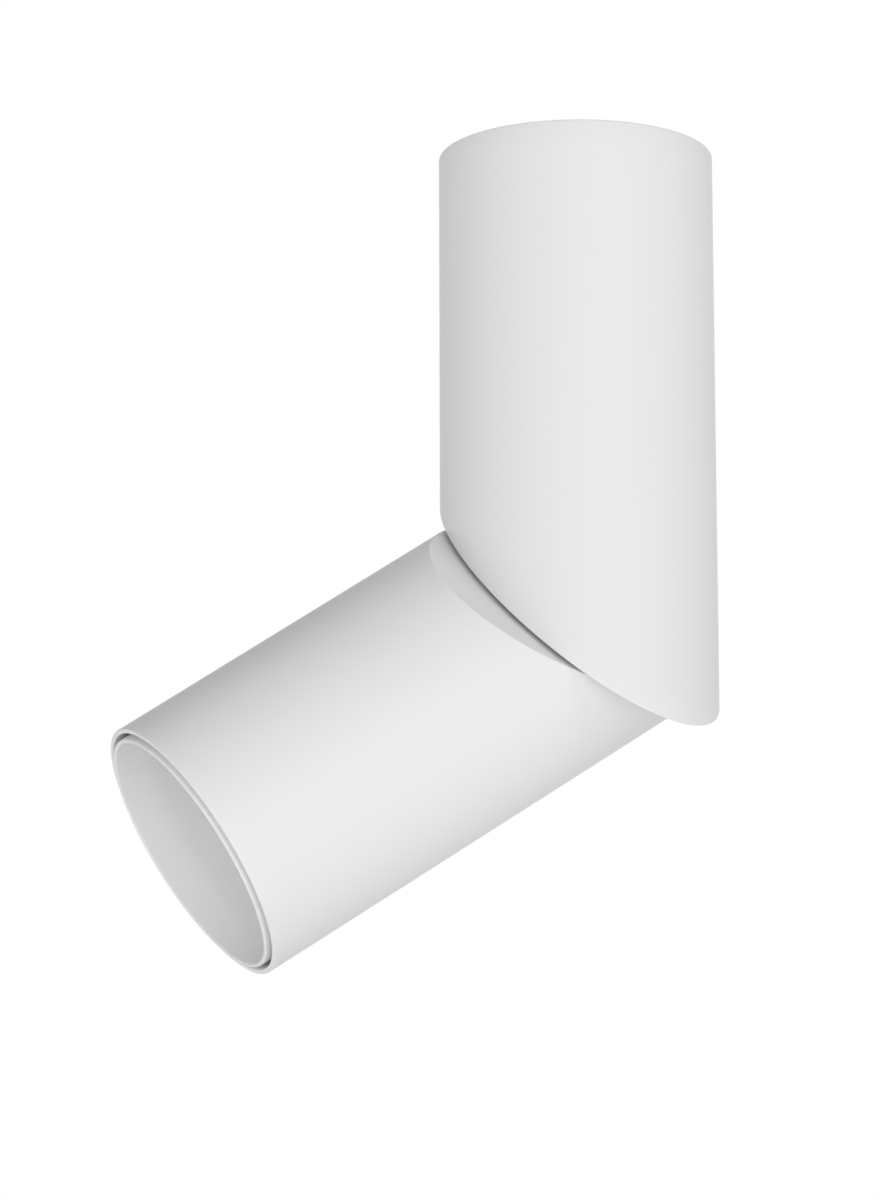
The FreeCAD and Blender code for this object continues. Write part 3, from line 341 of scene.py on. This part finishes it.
# %% Make the upper tube
upper_tube = piece_from_rows("upper_tube_skin", [upper_rows], "upper_body", "upper_tube")

# %% [markdown]
# ## Head tube
#
# The head is the same shape turned over, so its rows are the same rows after a half turn about Y,
# and then the head's own turn about the pivot. That turn isn't written down here: it is the angle
# between straight down and the head's axis, both seen along the pivot.

# %% Find the head's turn and its frame
down = np.array([0.0, 0.0, -1.0])


def square_to_pivot(direction):
    """What is left of a direction once its part along the pivot is taken away."""
    return direction - pivot_axis * np.dot(direction, pivot_axis)


flat_down, flat_head = square_to_pivot(down), square_to_pivot(head_axis)
turned_sine = np.dot(pivot_axis, np.cross(flat_down, flat_head))
head_turn = math.atan2(turned_sine, np.dot(flat_down, flat_head))
head_rotation = np.array(Matrix.Rotation(head_turn, 3, Vector(pivot_axis)))
head_centre = pivot_point + MITRE_GAP * pivot_axis
print("head turned by", round(math.degrees(head_turn), 2), "degrees")


def in_head(points):
    """Points of the head's own frame, where its axis runs down -Z, at their place in the light."""
    return points @ head_rotation.T + head_centre


# %% [markdown]
# ## Posts in the head
#
# The lamp's bracket is screwed to two small posts on the inside of the head's mitre wall. On the
# real head they are one piece with the wall. To join them in the mesh would break up its even rows
# for a line that nobody sees, so they are sheets of their own that reach a little into the wall.

# %% Make the head tube
TURN_OVER = np.diag([-1.0, 1.0, -1.0])
SCREW_SLOPE = 43.17 * MM
SCREW_SIDE = 8 * MM
SCREW_BOSS_RADIUS = 3.5 * MM
SCREW_HOLE_RADIUS = 1.55 * MM
SCREW_BOSS_SINK = 0.2 * MM


def boss_rows(side):
    """Tapped post for a bracket screw, standing on the inside of the head's mitre wall."""
    centre = SCREW_SLOPE * FACE_SLOPE + side * SCREW_SIDE * ACROSS
    top = -(MITRE_WALL + BOSS_HEIGHT)
    foot = -MITRE_WALL + SCREW_BOSS_SINK
    outline = [(SCREW_BOSS_RADIUS, foot), (SCREW_BOSS_RADIUS, top),
               (SCREW_HOLE_RADIUS, top), (SCREW_HOLE_RADIUS, foot)]
    return np.array([face_row(radius, height) for radius, height in outline]) + centre


head_rows = in_head(mitred_tube(HEAD_LENGTH) @ TURN_OVER.T)
head_bosses = [in_head(boss_rows(side)) for side in (-1, 1)]
head_tube = piece_from_rows("head_tube_skin", [head_rows, *head_bosses], "head", "head_tube")

# %% [markdown]
# ## Front baffle
#
# The ring in the mouth is turned from one outline: a narrow rounded lip, a slight flare, a straight
# sleeve, and a cone that closes on the lamp. The Screw modifier could spin such an outline. Here
# each point of radius and depth becomes one circle, so the ring goes through the same function as
# the tubes, and its lip gets arcs with a known radius.

# %% Sizes of the baffle
LIP_GAP = 1.3 * MM
LIP_OUTER_ROUND = 0.6 * MM
LIP_INNER_ROUND = 0.7 * MM
LIP_PROJECTION = 1.1 * MM
LIP_HEIGHT = 4 * MM
FLARE_DEPTH = 10 * MM
SLEEVE_INSET = 2.5 * MM
SLEEVE_WALL = 1.2 * MM
SLEEVE_LENGTH = 30 * MM
CONE_RADIUS = 26 * MM
CONE_DEPTH = 96 * MM
lip_outer = BORE_RADIUS - LIP_GAP
lip_crest = lip_outer - LIP_OUTER_ROUND
lip_inner = lip_crest - LIP_INNER_ROUND
lip_front = -(HEAD_LENGTH + LIP_PROJECTION)
sleeve_inner = lip_outer - SLEEVE_INSET
sleeve_outer = sleeve_inner + SLEEVE_WALL
sleeve_back = -(HEAD_LENGTH - SLEEVE_LENGTH)
print("opening", round(2 * sleeve_inner / MM, 1), "mm wide, lip",
      round((lip_outer - lip_inner) / MM, 1), "mm")


# %% Make the baffle from its outline
def lip_arc(radius, start, end, steps=9):
    """Arc (radius, height) that touches the lip's front at its crest: centre + r (cos t, sin t)."""
    sweep = np.radians(np.linspace(start, end, steps))
    return np.stack([lip_crest + radius * np.cos(sweep),
                     lip_front + radius + radius * np.sin(sweep)], axis=1)


def along(points, steps_between):
    """Extra points on each straight stretch, so that no quad is very long."""
    filled = []
    for (first, last), steps in zip(zip(points, points[1:]), steps_between):
        share = np.linspace(0, 1, steps, endpoint=False)[:, None]
        filled.append(np.array(first) * (1 - share) + np.array(last) * share)
    return np.concatenate([*filled, np.array(points[-1])[None]])


lip = np.concatenate([lip_arc(LIP_OUTER_ROUND, 0, -90), lip_arc(LIP_INNER_ROUND, -90, -180)[1:]])
behind_lip = along([
    (lip_inner, lip_front + LIP_INNER_ROUND),
    (sleeve_inner, lip_front + FLARE_DEPTH),
    (sleeve_inner, sleeve_back - SLEEVE_WALL / 2),
    (CONE_RADIUS, -CONE_DEPTH),
    (CONE_RADIUS, -CONE_DEPTH + SLEEVE_WALL),
    (CONE_RADIUS + SLEEVE_WALL, -CONE_DEPTH + SLEEVE_WALL),
    (sleeve_outer, sleeve_back),
    (sleeve_outer, lip_front + LIP_HEIGHT),
    (lip_outer, lip_front + LIP_HEIGHT),
], steps_between=(6, 8, 6, 1, 1, 4, 8, 1))
baffle_outline = np.concatenate([lip, behind_lip[1:]])
baffle_rows = in_head(np.array([level_row(radius, height) for radius, height in baffle_outline]))
front_baffle = piece_from_rows("front_baffle_skin", [baffle_rows], "baffle", "front_baffle")

# %% [markdown]
# ## Lamp
#
# The lamp sits so deep in the baffle that the photograph doesn't show it, but a look into the mouth
# does. Its housing is turned, like the baffle: a narrow foot in the holder, a side that bulges like
# a cup, and a bezel round the lens. The side is one arc through two known points with one radius,
# which is easier to change than a curve's handles.

# %% Sizes of the lamp
HOLDER_END = 48.5 * MM
LAMP_FRONT = 95 * MM
LAMP_RADIUS = 25 * MM
LAMP_BASE_RADIUS = 9 * MM
LAMP_NECK_RADIUS = 12 * MM
LAMP_NECK_HEIGHT = 12 * MM
LAMP_RIM_HEIGHT = 7 * MM
LAMP_SIDE_ROUND = 46.5 * MM
LAMP_SIDE_STEPS = 20
LAMP_BEZEL = 1.6 * MM
LENS_THICKNESS = 1.5 * MM
EDGE_ROUND = 0.4 * MM
bezel_inner = LAMP_RADIUS - LAMP_BEZEL
lens_back = -LAMP_FRONT + LENS_THICKNESS
print("lamp", round(2 * LAMP_RADIUS / MM), "mm wide and",
      round((LAMP_FRONT - HOLDER_END) / MM, 1), "mm long")


# %% Make the lamp's housing
def bulge(first, last, radius, steps):
    """Arc between two (radius, height) points that bulges to the left of the way there."""
    first, last = np.array(first), np.array(last)
    way = last - first
    length = np.linalg.norm(way)
    left = np.array([-way[1], way[0]]) / length
    centre = (first + last) / 2 - left * math.sqrt(radius ** 2 - length ** 2 / 4)
    start, end = first - centre, last - centre
    swept = 2 * math.asin(length / 2 / radius)
    share = np.linspace(0, 1, steps)[:, None]
    arc = np.sin((1 - share) * swept) * start + np.sin(share * swept) * end
    return centre + arc / math.sin(swept)


def turned_corner(corner, towards_first, towards_second, steps=5):
    """Quarter circle of EDGE_ROUND in place of a square corner."""
    corner = np.array(corner, dtype=float)
    first = np.array(towards_first, dtype=float)
    second = np.array(towards_second, dtype=float)
    centre = corner + EDGE_ROUND * (first + second)
    sweep = np.linspace(0, np.pi / 2, steps)[:, None]
    return centre - EDGE_ROUND * (np.cos(sweep) * second + np.sin(sweep) * first)


UP, DOWN, OUT, IN = (0, 1), (0, -1), (1, 0), (-1, 0)
lamp_outline = np.concatenate([
    [(0, -HOLDER_END), (LAMP_BASE_RADIUS / 2, -HOLDER_END)],
    turned_corner((LAMP_BASE_RADIUS, -HOLDER_END), IN, DOWN),
    bulge((LAMP_NECK_RADIUS, -HOLDER_END - LAMP_NECK_HEIGHT),
          (LAMP_RADIUS, -LAMP_FRONT + LAMP_RIM_HEIGHT), LAMP_SIDE_ROUND, LAMP_SIDE_STEPS),
    turned_corner((LAMP_RADIUS, -LAMP_FRONT), UP, IN),
    turned_corner((bezel_inner, -LAMP_FRONT), OUT, UP),
    [(bezel_inner, lens_back), (bezel_inner / 2, lens_back), (0, lens_back)],
])
lamp_rows = in_head(np.array([level_row(radius, height) for radius, height in lamp_outline]))
lamp_body = piece_from_rows("lamp_body_skin", [lamp_rows], "head", "lamp_body",
                            closed=False)

# %% [markdown]
# ## Lens
#
# The lens is moulded with small bumps in a triangular lattice, which spread the light. Three plane
# waves at 60 degrees to each other add up to just such a lattice, so the face's height is one
# formula. As real height, and not a bump in the material, it also shows at a slant.

# %% Make the lens
LENS_CLEARANCE = 0.05 * MM
LENS_AROUND = 512
LENS_ROWS = 90
BUMP_PITCH = 2.2 * MM
BUMP_DEPTH = 0.18 * MM
LOWEST_SUM = -1.5
HIGHEST_SUM = 3.0
lens_radius = bezel_inner - LENS_CLEARANCE
lens_angles = np.linspace(0, 2 * np.pi, LENS_AROUND, endpoint=False)


def bump_lattice(x, y):
    """Sum of three waves at 60 degrees, scaled to run from 0 between bumps to 1 on each bump."""
    waves = [np.cos(2 * np.pi / BUMP_PITCH * (x * math.cos(t) + y * math.sin(t)))
             for t in (0, np.pi / 3, 2 * np.pi / 3)]
    return (sum(waves) - LOWEST_SUM) / (HIGHEST_SUM - LOWEST_SUM)


def lens_face():
    """Rows from the rim to the middle: height = front + depth * (1 - lattice), level at the rim."""
    radius = np.linspace(lens_radius - EDGE_ROUND, 0, LENS_ROWS)[:, None]
    x, y = radius * np.cos(lens_angles), radius * np.sin(lens_angles)
    inward = np.clip((lens_radius - EDGE_ROUND - radius) / BUMP_PITCH, 0, 1)
    height = -LAMP_FRONT + BUMP_DEPTH * inward * (1 - bump_lattice(x, y))
    return np.stack([x, y, height], axis=-1)


lens_side = np.concatenate([
    [(0, lens_back), (lens_radius / 2, lens_back), (lens_radius, lens_back)],
    turned_corner((lens_radius, -LAMP_FRONT), UP, IN)[:-1],
])
side_radius, side_height = lens_side[:, :1], lens_side[:, 1:]
side_rows = np.stack([side_radius * np.cos(lens_angles), side_radius * np.sin(lens_angles),
                      np.repeat(side_height, LENS_AROUND, axis=1)], axis=-1)
lens_rows = np.concatenate([side_rows, lens_face()])
lamp_lens = piece_from_rows("lamp_lens_skin", [in_head(lens_rows)], "head", "lamp_lens",
                            closed=False)

# %% [markdown]
# ## Materials as expressions
#
# A shader's maths reads best as maths. `Field` wraps a socket, so that `1 - mask * 0.2` adds its
# Math nodes by itself. `Nodes` is a node tree, and its `node` method makes every other node. The
# white background uses it too, further down.

# %% A socket that takes part in expressions
MATHS_KIND = "ShaderNodeMath"


class Field:
    """One number or colour that changes over a surface."""

    def __init__(self, nodes, socket):
        self.nodes = nodes
        self.socket = socket

    def maths(self, operation, first, second):
        """A Math node on two sockets or numbers."""
        return self.nodes.field(MATHS_KIND, {"operation": operation}, {0: first, 1: second})

    def __add__(self, other):
        return self.maths("ADD", self, other)

    def __radd__(self, other):
        return self.maths("ADD", other, self)

    def __sub__(self, other):
        return self.maths("SUBTRACT", self, other)

    def __rsub__(self, other):
        return self.maths("SUBTRACT", other, self)

    def __mul__(self, other):
        return self.maths("MULTIPLY", self, other)

    def __rmul__(self, other):
        return self.maths("MULTIPLY", other, self)


print("an expression adds nodes of kind", MATHS_KIND)


# %% A node tree that is filled by one method
class Nodes:
    """A node tree, emptied and filled again."""

    def __init__(self, tree):
        self.tree = tree
        self.tree.nodes.clear()

    def node(self, kind, settings=None, values=None):
        """A node of a kind: its settings are set first, and then its sockets' values or links."""
        made = self.tree.nodes.new(kind)
        for key, value in (settings or {}).items():
            setattr(made, key, value)
        for key, value in (values or {}).items():
            if isinstance(value, Field):
                self.tree.links.new(value.socket, made.inputs[key])
            else:
                made.inputs[key].default_value = value
        return made

    def field(self, kind, settings, values, output=0):
        """The same, but gives one of the node's outputs, ready for an expression."""
        return Field(self, self.node(kind, settings, values).outputs[output])


print("materials that came with the packed pieces", len(bpy.data.materials))

# %% [markdown]
# ## One finish
#
# A real surface is never one colour and one gloss. So each finish starts from a Principled shader
# with a middle value, and noises of a few sizes make its colour, its roughness and its height vary
# a little round that. The noise reads Object coordinates, so its grain has a real size in metres.

# %% A material with one Principled shader
# A Mix node's colour sockets share their names with its number sockets, so they go by number.
MIX_FIRST = 6
MIX_SECOND = 7
MIX_COLOUR = 2
FINE_DETAIL = 3.0
FINE_ROUGHNESS = 0.6


class Finish(Nodes):
    """A material with one Principled shader and the nodes that feed it."""

    def __init__(self, name, colour, roughness, metallic=0.0, **fixed):
        self.material = bpy.data.materials.new(name)
        self.material.use_nodes = True
        super().__init__(self.material.node_tree)
        self.colour = colour
        self.roughness = roughness
        self.shader = self.node("ShaderNodeBsdfPrincipled", {}, {
            "Base Color": (*colour, 1), "Roughness": roughness, "Metallic": metallic, **fixed})
        surface = Field(self, self.shader.outputs[0])
        self.node("ShaderNodeOutputMaterial", {}, {"Surface": surface})
        self.place = self.field("ShaderNodeTexCoord", {}, {}, "Object")

    def feed(self, socket, value):
        """Link a field to one of the shader's sockets."""
        self.tree.links.new(value.socket, self.shader.inputs[socket])

    def noise(self, size, detail=2.0, roughness=0.5, stretch=None):
        """Noise whose grains are about size metres across."""
        where = self.place
        if stretch:
            where = self.field("ShaderNodeMapping", {}, {"Vector": where, "Scale": stretch})
        return self.field("ShaderNodeTexNoise", {"noise_dimensions": "3D"}, {
            "Vector": where, "Scale": 1 / size, "Detail": detail, "Roughness": roughness}, "Fac")

    def fine_noise(self, size):
        """Noise with much small detail on its grains, for frost, dust and spark erosion."""
        return self.noise(size, FINE_DETAIL, FINE_ROUGHNESS)

    def tint(self, factor, first, second):
        """Base colour: the first colour where factor is 0 and the second where it is 1."""
        self.feed("Base Color", self.field("ShaderNodeMix", {"data_type": "RGBA"}, {
            "Factor": factor, MIX_FIRST: (*first, 1), MIX_SECOND: (*second, 1)}, MIX_COLOUR))

    def darken(self, factor, share):
        """Base colour: the finish's own where factor is 0, and share times that where it is 1."""
        self.tint(factor, self.colour, tuple(channel * share for channel in self.colour))

    def vary_roughness(self, *spreads):
        """Roughness: the finish's own, plus spread * (noise - 0.5) for each pair given."""
        value = self.roughness
        for noise, spread in spreads:
            value = value + spread * (noise - 0.5)
        self.feed("Roughness", value)

    def bump(self, height, depth):
        """Height of the surface in the shading, from 0 to depth metres."""
        self.feed("Normal", self.field("ShaderNodeBump", {}, {
            "Height": height, "Distance": depth, "Strength": 1.0}))


print("fine noise has", FINE_DETAIL, "octaves over its first one")

# %% [markdown]
# ## White powder coat
#
# Powder coat is melted dust, so it is never quite flat: it has a fine orange peel about a
# millimetre across, and a finer grain that scatters the light. Real displacement would need
# millions of faces for that, so both go into one bump height. The colour keeps almost still, since
# white paint shows only the faintest cloud of handling.

# %% Make the powder coats
PEEL_SIZE = 1.6 * MM
DUST_SIZE = 0.35 * MM
HANDLING_SIZE = 35 * MM
PEEL_SHARE = 0.7
DUST_SHARE = 0.3
DUST_SPREAD = 0.08
HANDLING_SPREAD = 0.04
HANDLED_SHADE = 0.985
PAINT_SHINE = 0.35


def powder_coat(name, colour, roughness, peel_depth):
    """Orange peel and dust in the height, and a cloud of handling in colour and gloss."""
    finish = Finish(name, colour, roughness, **{"Specular IOR Level": PAINT_SHINE})
    peel = finish.noise(PEEL_SIZE)
    dust = finish.fine_noise(DUST_SIZE)
    handling = finish.noise(HANDLING_SIZE)
    finish.bump(PEEL_SHARE * peel + DUST_SHARE * dust, peel_depth)
    finish.darken(handling, HANDLED_SHADE)
    finish.vary_roughness((dust, DUST_SPREAD), (handling, HANDLING_SPREAD))
    return finish.material


tube_white = powder_coat("tube_powder_coat", (0.84, 0.84, 0.84), 0.62, peel_depth=0.02 * MM)
baffle_white = powder_coat("baffle_matt_white", (0.83, 0.83, 0.83), 0.7, peel_depth=0.012 * MM)
for tube in (upper_tube, head_tube):
    tube.data.materials.append(tube_white)
front_baffle.data.materials.append(baffle_white)
print("painted", upper_tube.name, head_tube.name, front_baffle.name)

# %% [markdown]
# ## Metals inside
#
# Zinc plating has a soft blotchy shine, spring steel a drawn grain along its length, and turned
# aluminium and brass fine rings. None of them is flat in roughness, and that is what the eye
# takes for metal. A Mapping node stretches the noise, which turns its grains into scratches.

# %% Make the metals
BLOTCH_SIZE = 4 * MM
BLOTCH_DETAIL = 4.0
BLOTCH_SPREAD = 0.16
BLOTCH_SHADE = 0.86
SCRATCH_SIZE = 0.5 * MM
SCRATCH_SPREAD = 0.1
SCRATCH_STRETCH = (1.0, 12.0, 1.0)
STAIN_SIZE = 6 * MM
STAIN_DETAIL = 3.0
STAIN_SPREAD = 0.08
STAIN_SHADE = 0.9
RING_SIZE = 0.3 * MM
RING_SPREAD = 0.15
RING_STRETCH = (0.15, 0.15, 1.0)
TOOL_MARK_DEPTH = 0.004 * MM


def plated_steel(name, colour, roughness):
    """Soft blotches of plating over fine scratches."""
    finish = Finish(name, colour, roughness, metallic=1.0)
    blotch = finish.noise(BLOTCH_SIZE, BLOTCH_DETAIL)
    scratch = finish.noise(SCRATCH_SIZE, stretch=SCRATCH_STRETCH)
    finish.vary_roughness((blotch, BLOTCH_SPREAD), (scratch, SCRATCH_SPREAD))
    finish.darken(blotch, BLOTCH_SHADE)
    finish.bump(scratch, TOOL_MARK_DEPTH)
    return finish.material


def turned_metal(name, colour, roughness):
    """Fine marks of the lathe, and a faint stain."""
    finish = Finish(name, colour, roughness, metallic=1.0)
    rings = finish.noise(RING_SIZE, stretch=RING_STRETCH)
    stain = finish.noise(STAIN_SIZE, STAIN_DETAIL)
    finish.vary_roughness((rings, RING_SPREAD), (stain, STAIN_SPREAD))
    finish.darken(stain, STAIN_SHADE)
    finish.bump(rings, TOOL_MARK_DEPTH)
    return finish.material


zinc_steel = plated_steel("zinc_plated_steel", (0.62, 0.63, 0.65), 0.38)
spring_steel = plated_steel("spring_steel", (0.42, 0.43, 0.45), 0.3)
aluminium = turned_metal("turned_aluminium", (0.77, 0.78, 0.79), 0.32)
brass = turned_metal("turned_brass", (0.78, 0.60, 0.28), 0.28)
nickel = turned_metal("nickel_plate", (0.72, 0.71, 0.69), 0.22)
print("metals", [metal.name for metal in (zinc_steel, spring_steel, aluminium, brass, nickel)])

# %% [markdown]
# ## Plastics, rubber and ceramic
#
# Moulded nylon is spark-eroded, which leaves an even fine grain. Steatite has a thin glaze, so it
# gets a coat over a warm white. All of them are one finish with other numbers.

# %% Make the moulded finishes
GRAIN_SPREAD = 0.12
FLOW_SIZE = 9 * MM
FLOW_SPREAD = 0.06
FLOW_SHADE = 0.93


def moulded(name, colour, roughness, grain_size=0.25 * MM, depth=0.01 * MM, **fixed):
    """An even grain in the height, and the faint clouds of how the material flowed."""
    finish = Finish(name, colour, roughness, **fixed)
    grain = finish.fine_noise(grain_size)
    flow = finish.noise(FLOW_SIZE)
    finish.bump(grain, depth)
    finish.vary_roughness((grain, GRAIN_SPREAD), (flow, FLOW_SPREAD))
    finish.darken(flow, FLOW_SHADE)
    return finish.material


white_nylon = moulded("white_nylon", (0.78, 0.77, 0.73), 0.5)
black_nylon = moulded("black_nylon", (0.025, 0.025, 0.027), 0.55)
black_rubber = moulded("black_rubber", (0.02, 0.02, 0.02), 0.8, 0.4 * MM, 0.02 * MM)
ceramic = moulded("glazed_steatite", (0.84, 0.81, 0.74), 0.35, 0.6 * MM, 0.01 * MM,
                  **{"Coat Weight": 0.6, "Coat Roughness": 0.12})
lamp_white = moulded("lamp_housing", (0.84, 0.84, 0.83), 0.35, 0.5 * MM, 0.006 * MM)
print("moulded", [made.name for made in (white_nylon, black_nylon, black_rubber, ceramic)])

# %% [markdown]
# ## Braided sleeve
#
# The leads run in a heat-proof sleeve of glass thread, braided from two families of threads that
# lean opposite ways. Thread by thread it would be a very heavy mesh for pieces that stay out of
# sight. So each family is a wave of bands, and where both waves are high a thread lies on top:
# their product is the height of the braid. The colour is painted darker where that height is low,
# as painted shade in the hollows between the threads.

# %% Make the sleeve's finish
THREAD_LEAN = math.radians(40)
THREAD_SCALE = 420.0
THREAD_WANDER = 0.4
BRAID_DEPTH = 0.12 * MM
PAINTED_HOLLOW_SHADE = 0.78
SLEEVE_WHITE = (0.80, 0.78, 0.72)


def thread_bands(finish, lean):
    """Bands between 0 and 1 that lean one way, or the other if lean is negative."""
    turned = finish.field("ShaderNodeMapping", {}, {
        "Vector": finish.place, "Rotation": (0.0, 0.0, lean)})
    return finish.field("ShaderNodeTexWave", {
        "wave_type": "BANDS", "bands_direction": "DIAGONAL"}, {
        "Vector": turned, "Scale": THREAD_SCALE, "Distortion": THREAD_WANDER}, "Fac")


sleeve = Finish("braided_sleeve", SLEEVE_WHITE, 0.75)
weave = thread_bands(sleeve, THREAD_LEAN) * thread_bands(sleeve, -THREAD_LEAN)
sleeve.bump(weave, BRAID_DEPTH)
# Painted shade: the base colour is darker where the braid's height is low, in the hollows between threads.
sleeve.tint(weave, tuple(channel * PAINTED_HOLLOW_SHADE for channel in SLEEVE_WHITE), SLEEVE_WHITE)
print("braided", sleeve.material.name)

# %% [markdown]
# ## Frosted lens
#
# The lens is milky moulded plastic. A glass shader would show the housing behind it, which the real
# one hides, so it is an opaque white. A fine frost breaks up the shine on each of its bumps, and a
# thin coat keeps a soft highlight over it.

# %% Make the lens's finish
FROST_SIZE = 0.2 * MM
FROST_DEPTH = 0.01 * MM
FROST_SPREAD = 0.2
MILK_SIZE = 3 * MM
MILK_DETAIL = 3.0
LENS_LIGHT = (0.90, 0.91, 0.91)
LENS_DARK = (0.80, 0.81, 0.82)
frosted_lens = Finish("frosted_lens", (0.86, 0.87, 0.87), 0.44,
                      **{"Coat Weight": 0.3, "Coat Roughness": 0.2})
frost = frosted_lens.fine_noise(FROST_SIZE)
milk = frosted_lens.noise(MILK_SIZE, MILK_DETAIL)
frosted_lens.bump(frost, FROST_DEPTH)
frosted_lens.tint(milk, LENS_LIGHT, LENS_DARK)
frosted_lens.vary_roughness((frost, FROST_SPREAD))
lamp_body.data.materials.append(lamp_white)
lamp_lens.data.materials.append(frosted_lens.material)
print("lamp finished with", lamp_white.name, "and", frosted_lens.material.name)

# %% [markdown]
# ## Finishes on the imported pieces
#
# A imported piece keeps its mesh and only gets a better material, by its material slot's name in the
# record. The dictionary says which finish stands for which slot.

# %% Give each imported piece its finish
finish_of_slot = {
    "zinc_steel": zinc_steel, "spring_steel": spring_steel, "aluminium": aluminium,
    "brass": brass, "nickel": nickel, "black_rubber": black_rubber,
    "white_sleeve": sleeve.material, "white_nylon": white_nylon, "black_nylon": black_nylon,
    "ceramic": ceramic, "lamp_white": lamp_white, "lens": frosted_lens.material,
    "white_powder_coat": tube_white, "white_baffle": baffle_white,
}
for entry in frame["record"]["subparts"]:
    node = frame["nodes"][entry["node"]]
    node.data.materials.clear()
    node.data.materials.append(finish_of_slot[entry["material_slot"]])

# %% [markdown]
# ## Floor
#
# The light hangs from a ceiling, so its floor is a room's height below, and shows only in a look
# from above. It is far wider than a room, so that such a look doesn't find its edge nearby.

# %% Floor of the room
FLOOR_HEIGHT = -2.4
FLOOR_HALF = 60.0
FLOOR_GRAIN = 30 * MM
FLOOR_GRAIN_DETAIL = 3.0
FLOOR_RELIEF = 0.3 * MM
CORNER_SIGNS = ((-1, -1), (1, -1), (1, 1), (-1, 1))
floor_mesh = bpy.data.meshes.new("floor")
floor_corners = [(x * FLOOR_HALF, y * FLOOR_HALF, FLOOR_HEIGHT) for x, y in CORNER_SIGNS]
floor_mesh.from_pydata(floor_corners, [], [(0, 1, 2, 3)])
floor = bpy.data.objects.new("floor", floor_mesh)
bpy.context.scene.collection.objects.link(floor)
floor_finish = Finish("pale_floor", (0.82, 0.82, 0.81), 0.9)
floor_finish.bump(floor_finish.noise(FLOOR_GRAIN, FLOOR_GRAIN_DETAIL), FLOOR_RELIEF)
floor_mesh.materials.append(floor_finish.material)
print("floor", 2 * FLOOR_HALF, "m wide at", FLOOR_HEIGHT, "m")

# %% [markdown]
# ## Background
#
# A white background at full strength would light the object from everywhere and wash it out. So the
# world has two strengths, and a Light Path node picks one: rays that reach it from the camera, off
# a shiny surface or through a clear one see white, and all others see a dim sky.

# %% White background and dim sky
WHITE = (1, 1, 1, 1)
SKY_STRENGTH = 0.2
BACKDROP_STRENGTH = 1.0
bpy.context.scene.view_settings.view_transform = "Standard"
world = bpy.data.worlds.new("studio")
bpy.context.scene.world = world
world.use_nodes = True
studio = Nodes(world.node_tree)
rays = studio.node("ShaderNodeLightPath")
seen = Field(studio, rays.outputs["Is Camera Ray"])
for kind in ("Is Glossy Ray", "Is Transmission Ray"):
    seen = seen.maths("MAXIMUM", seen, Field(studio, rays.outputs[kind]))
sky = studio.field("ShaderNodeBackground", {}, {"Color": WHITE, "Strength": SKY_STRENGTH})
backdrop = studio.field("ShaderNodeBackground", {}, {
    "Color": WHITE, "Strength": BACKDROP_STRENGTH})
mixed = studio.field("ShaderNodeMixShader", {}, {"Fac": seen, 1: sky, 2: backdrop})
studio.node("ShaderNodeOutputWorld", {}, {"Surface": mixed})
print("sky", SKY_STRENGTH, "backdrop", BACKDROP_STRENGTH)

# %% [markdown]
# ## Light on the floor
#
# The dim sky would leave the floor dark. A flat lamp as wide as the floor hangs just above it and
# shines down only. The object is higher up, so this light reaches it only off the floor.

# %% Wash of light on the floor
WASH_HEIGHT = 1.2
WASH_WATTS = 24000.0
wash_data = bpy.data.lights.new("floor_wash", "AREA")
wash_data.size = 2 * FLOOR_HALF
wash_data.energy = WASH_WATTS
wash = bpy.data.objects.new("floor_wash", wash_data)
bpy.context.scene.collection.objects.link(wash)
wash.location = (0, 0, FLOOR_HEIGHT + WASH_HEIGHT)
wash.visible_camera = False
wash.visible_glossy = False
wash.visible_transmission = False
print("floor wash", WASH_WATTS, "W over", 2 * FLOOR_HALF, "m")

# %% [markdown]
# ## Soft lamps
#
# Large lamps close to the object give the slow change from light to grey across the tubes. Their
# powers were chosen so that the tones across both tubes, in the mouth and on the crescent agree
# with the photograph's. The last one stands behind, for looks from the back.

# %% Soft lamps round the object
LAMP_DISTANCE = 2.0
LAMP_SIZE = 1.6


def soft_lamp(name, azimuth, elevation, watts):
    """Square area lamp that looks at the pivot from a direction given as the camera's is."""
    back = camera_axes(math.radians(azimuth), math.radians(elevation), 0)[2]
    data = bpy.data.lights.new(name, "AREA")
    data.size = LAMP_SIZE
    data.energy = watts
    lamp = bpy.data.objects.new(name, data)
    bpy.context.scene.collection.objects.link(lamp)
    lamp.location = Vector(pivot_point + back * LAMP_DISTANCE)
    lamp.rotation_mode = "QUATERNION"
    lamp.rotation_quaternion = (-Vector(back)).to_track_quat("-Z", "Y")
    lamp.visible_camera = False
    print(name, "lamp", watts, "W")


soft_lamp("key", azimuth=60, elevation=-10, watts=13.0)
soft_lamp("front", azimuth=20, elevation=-10, watts=6.4)
soft_lamp("left", azimuth=-20, elevation=-10, watts=6.8)
soft_lamp("right", azimuth=100, elevation=25, watts=10.5)
soft_lamp("back", azimuth=223, elevation=15, watts=7.0)
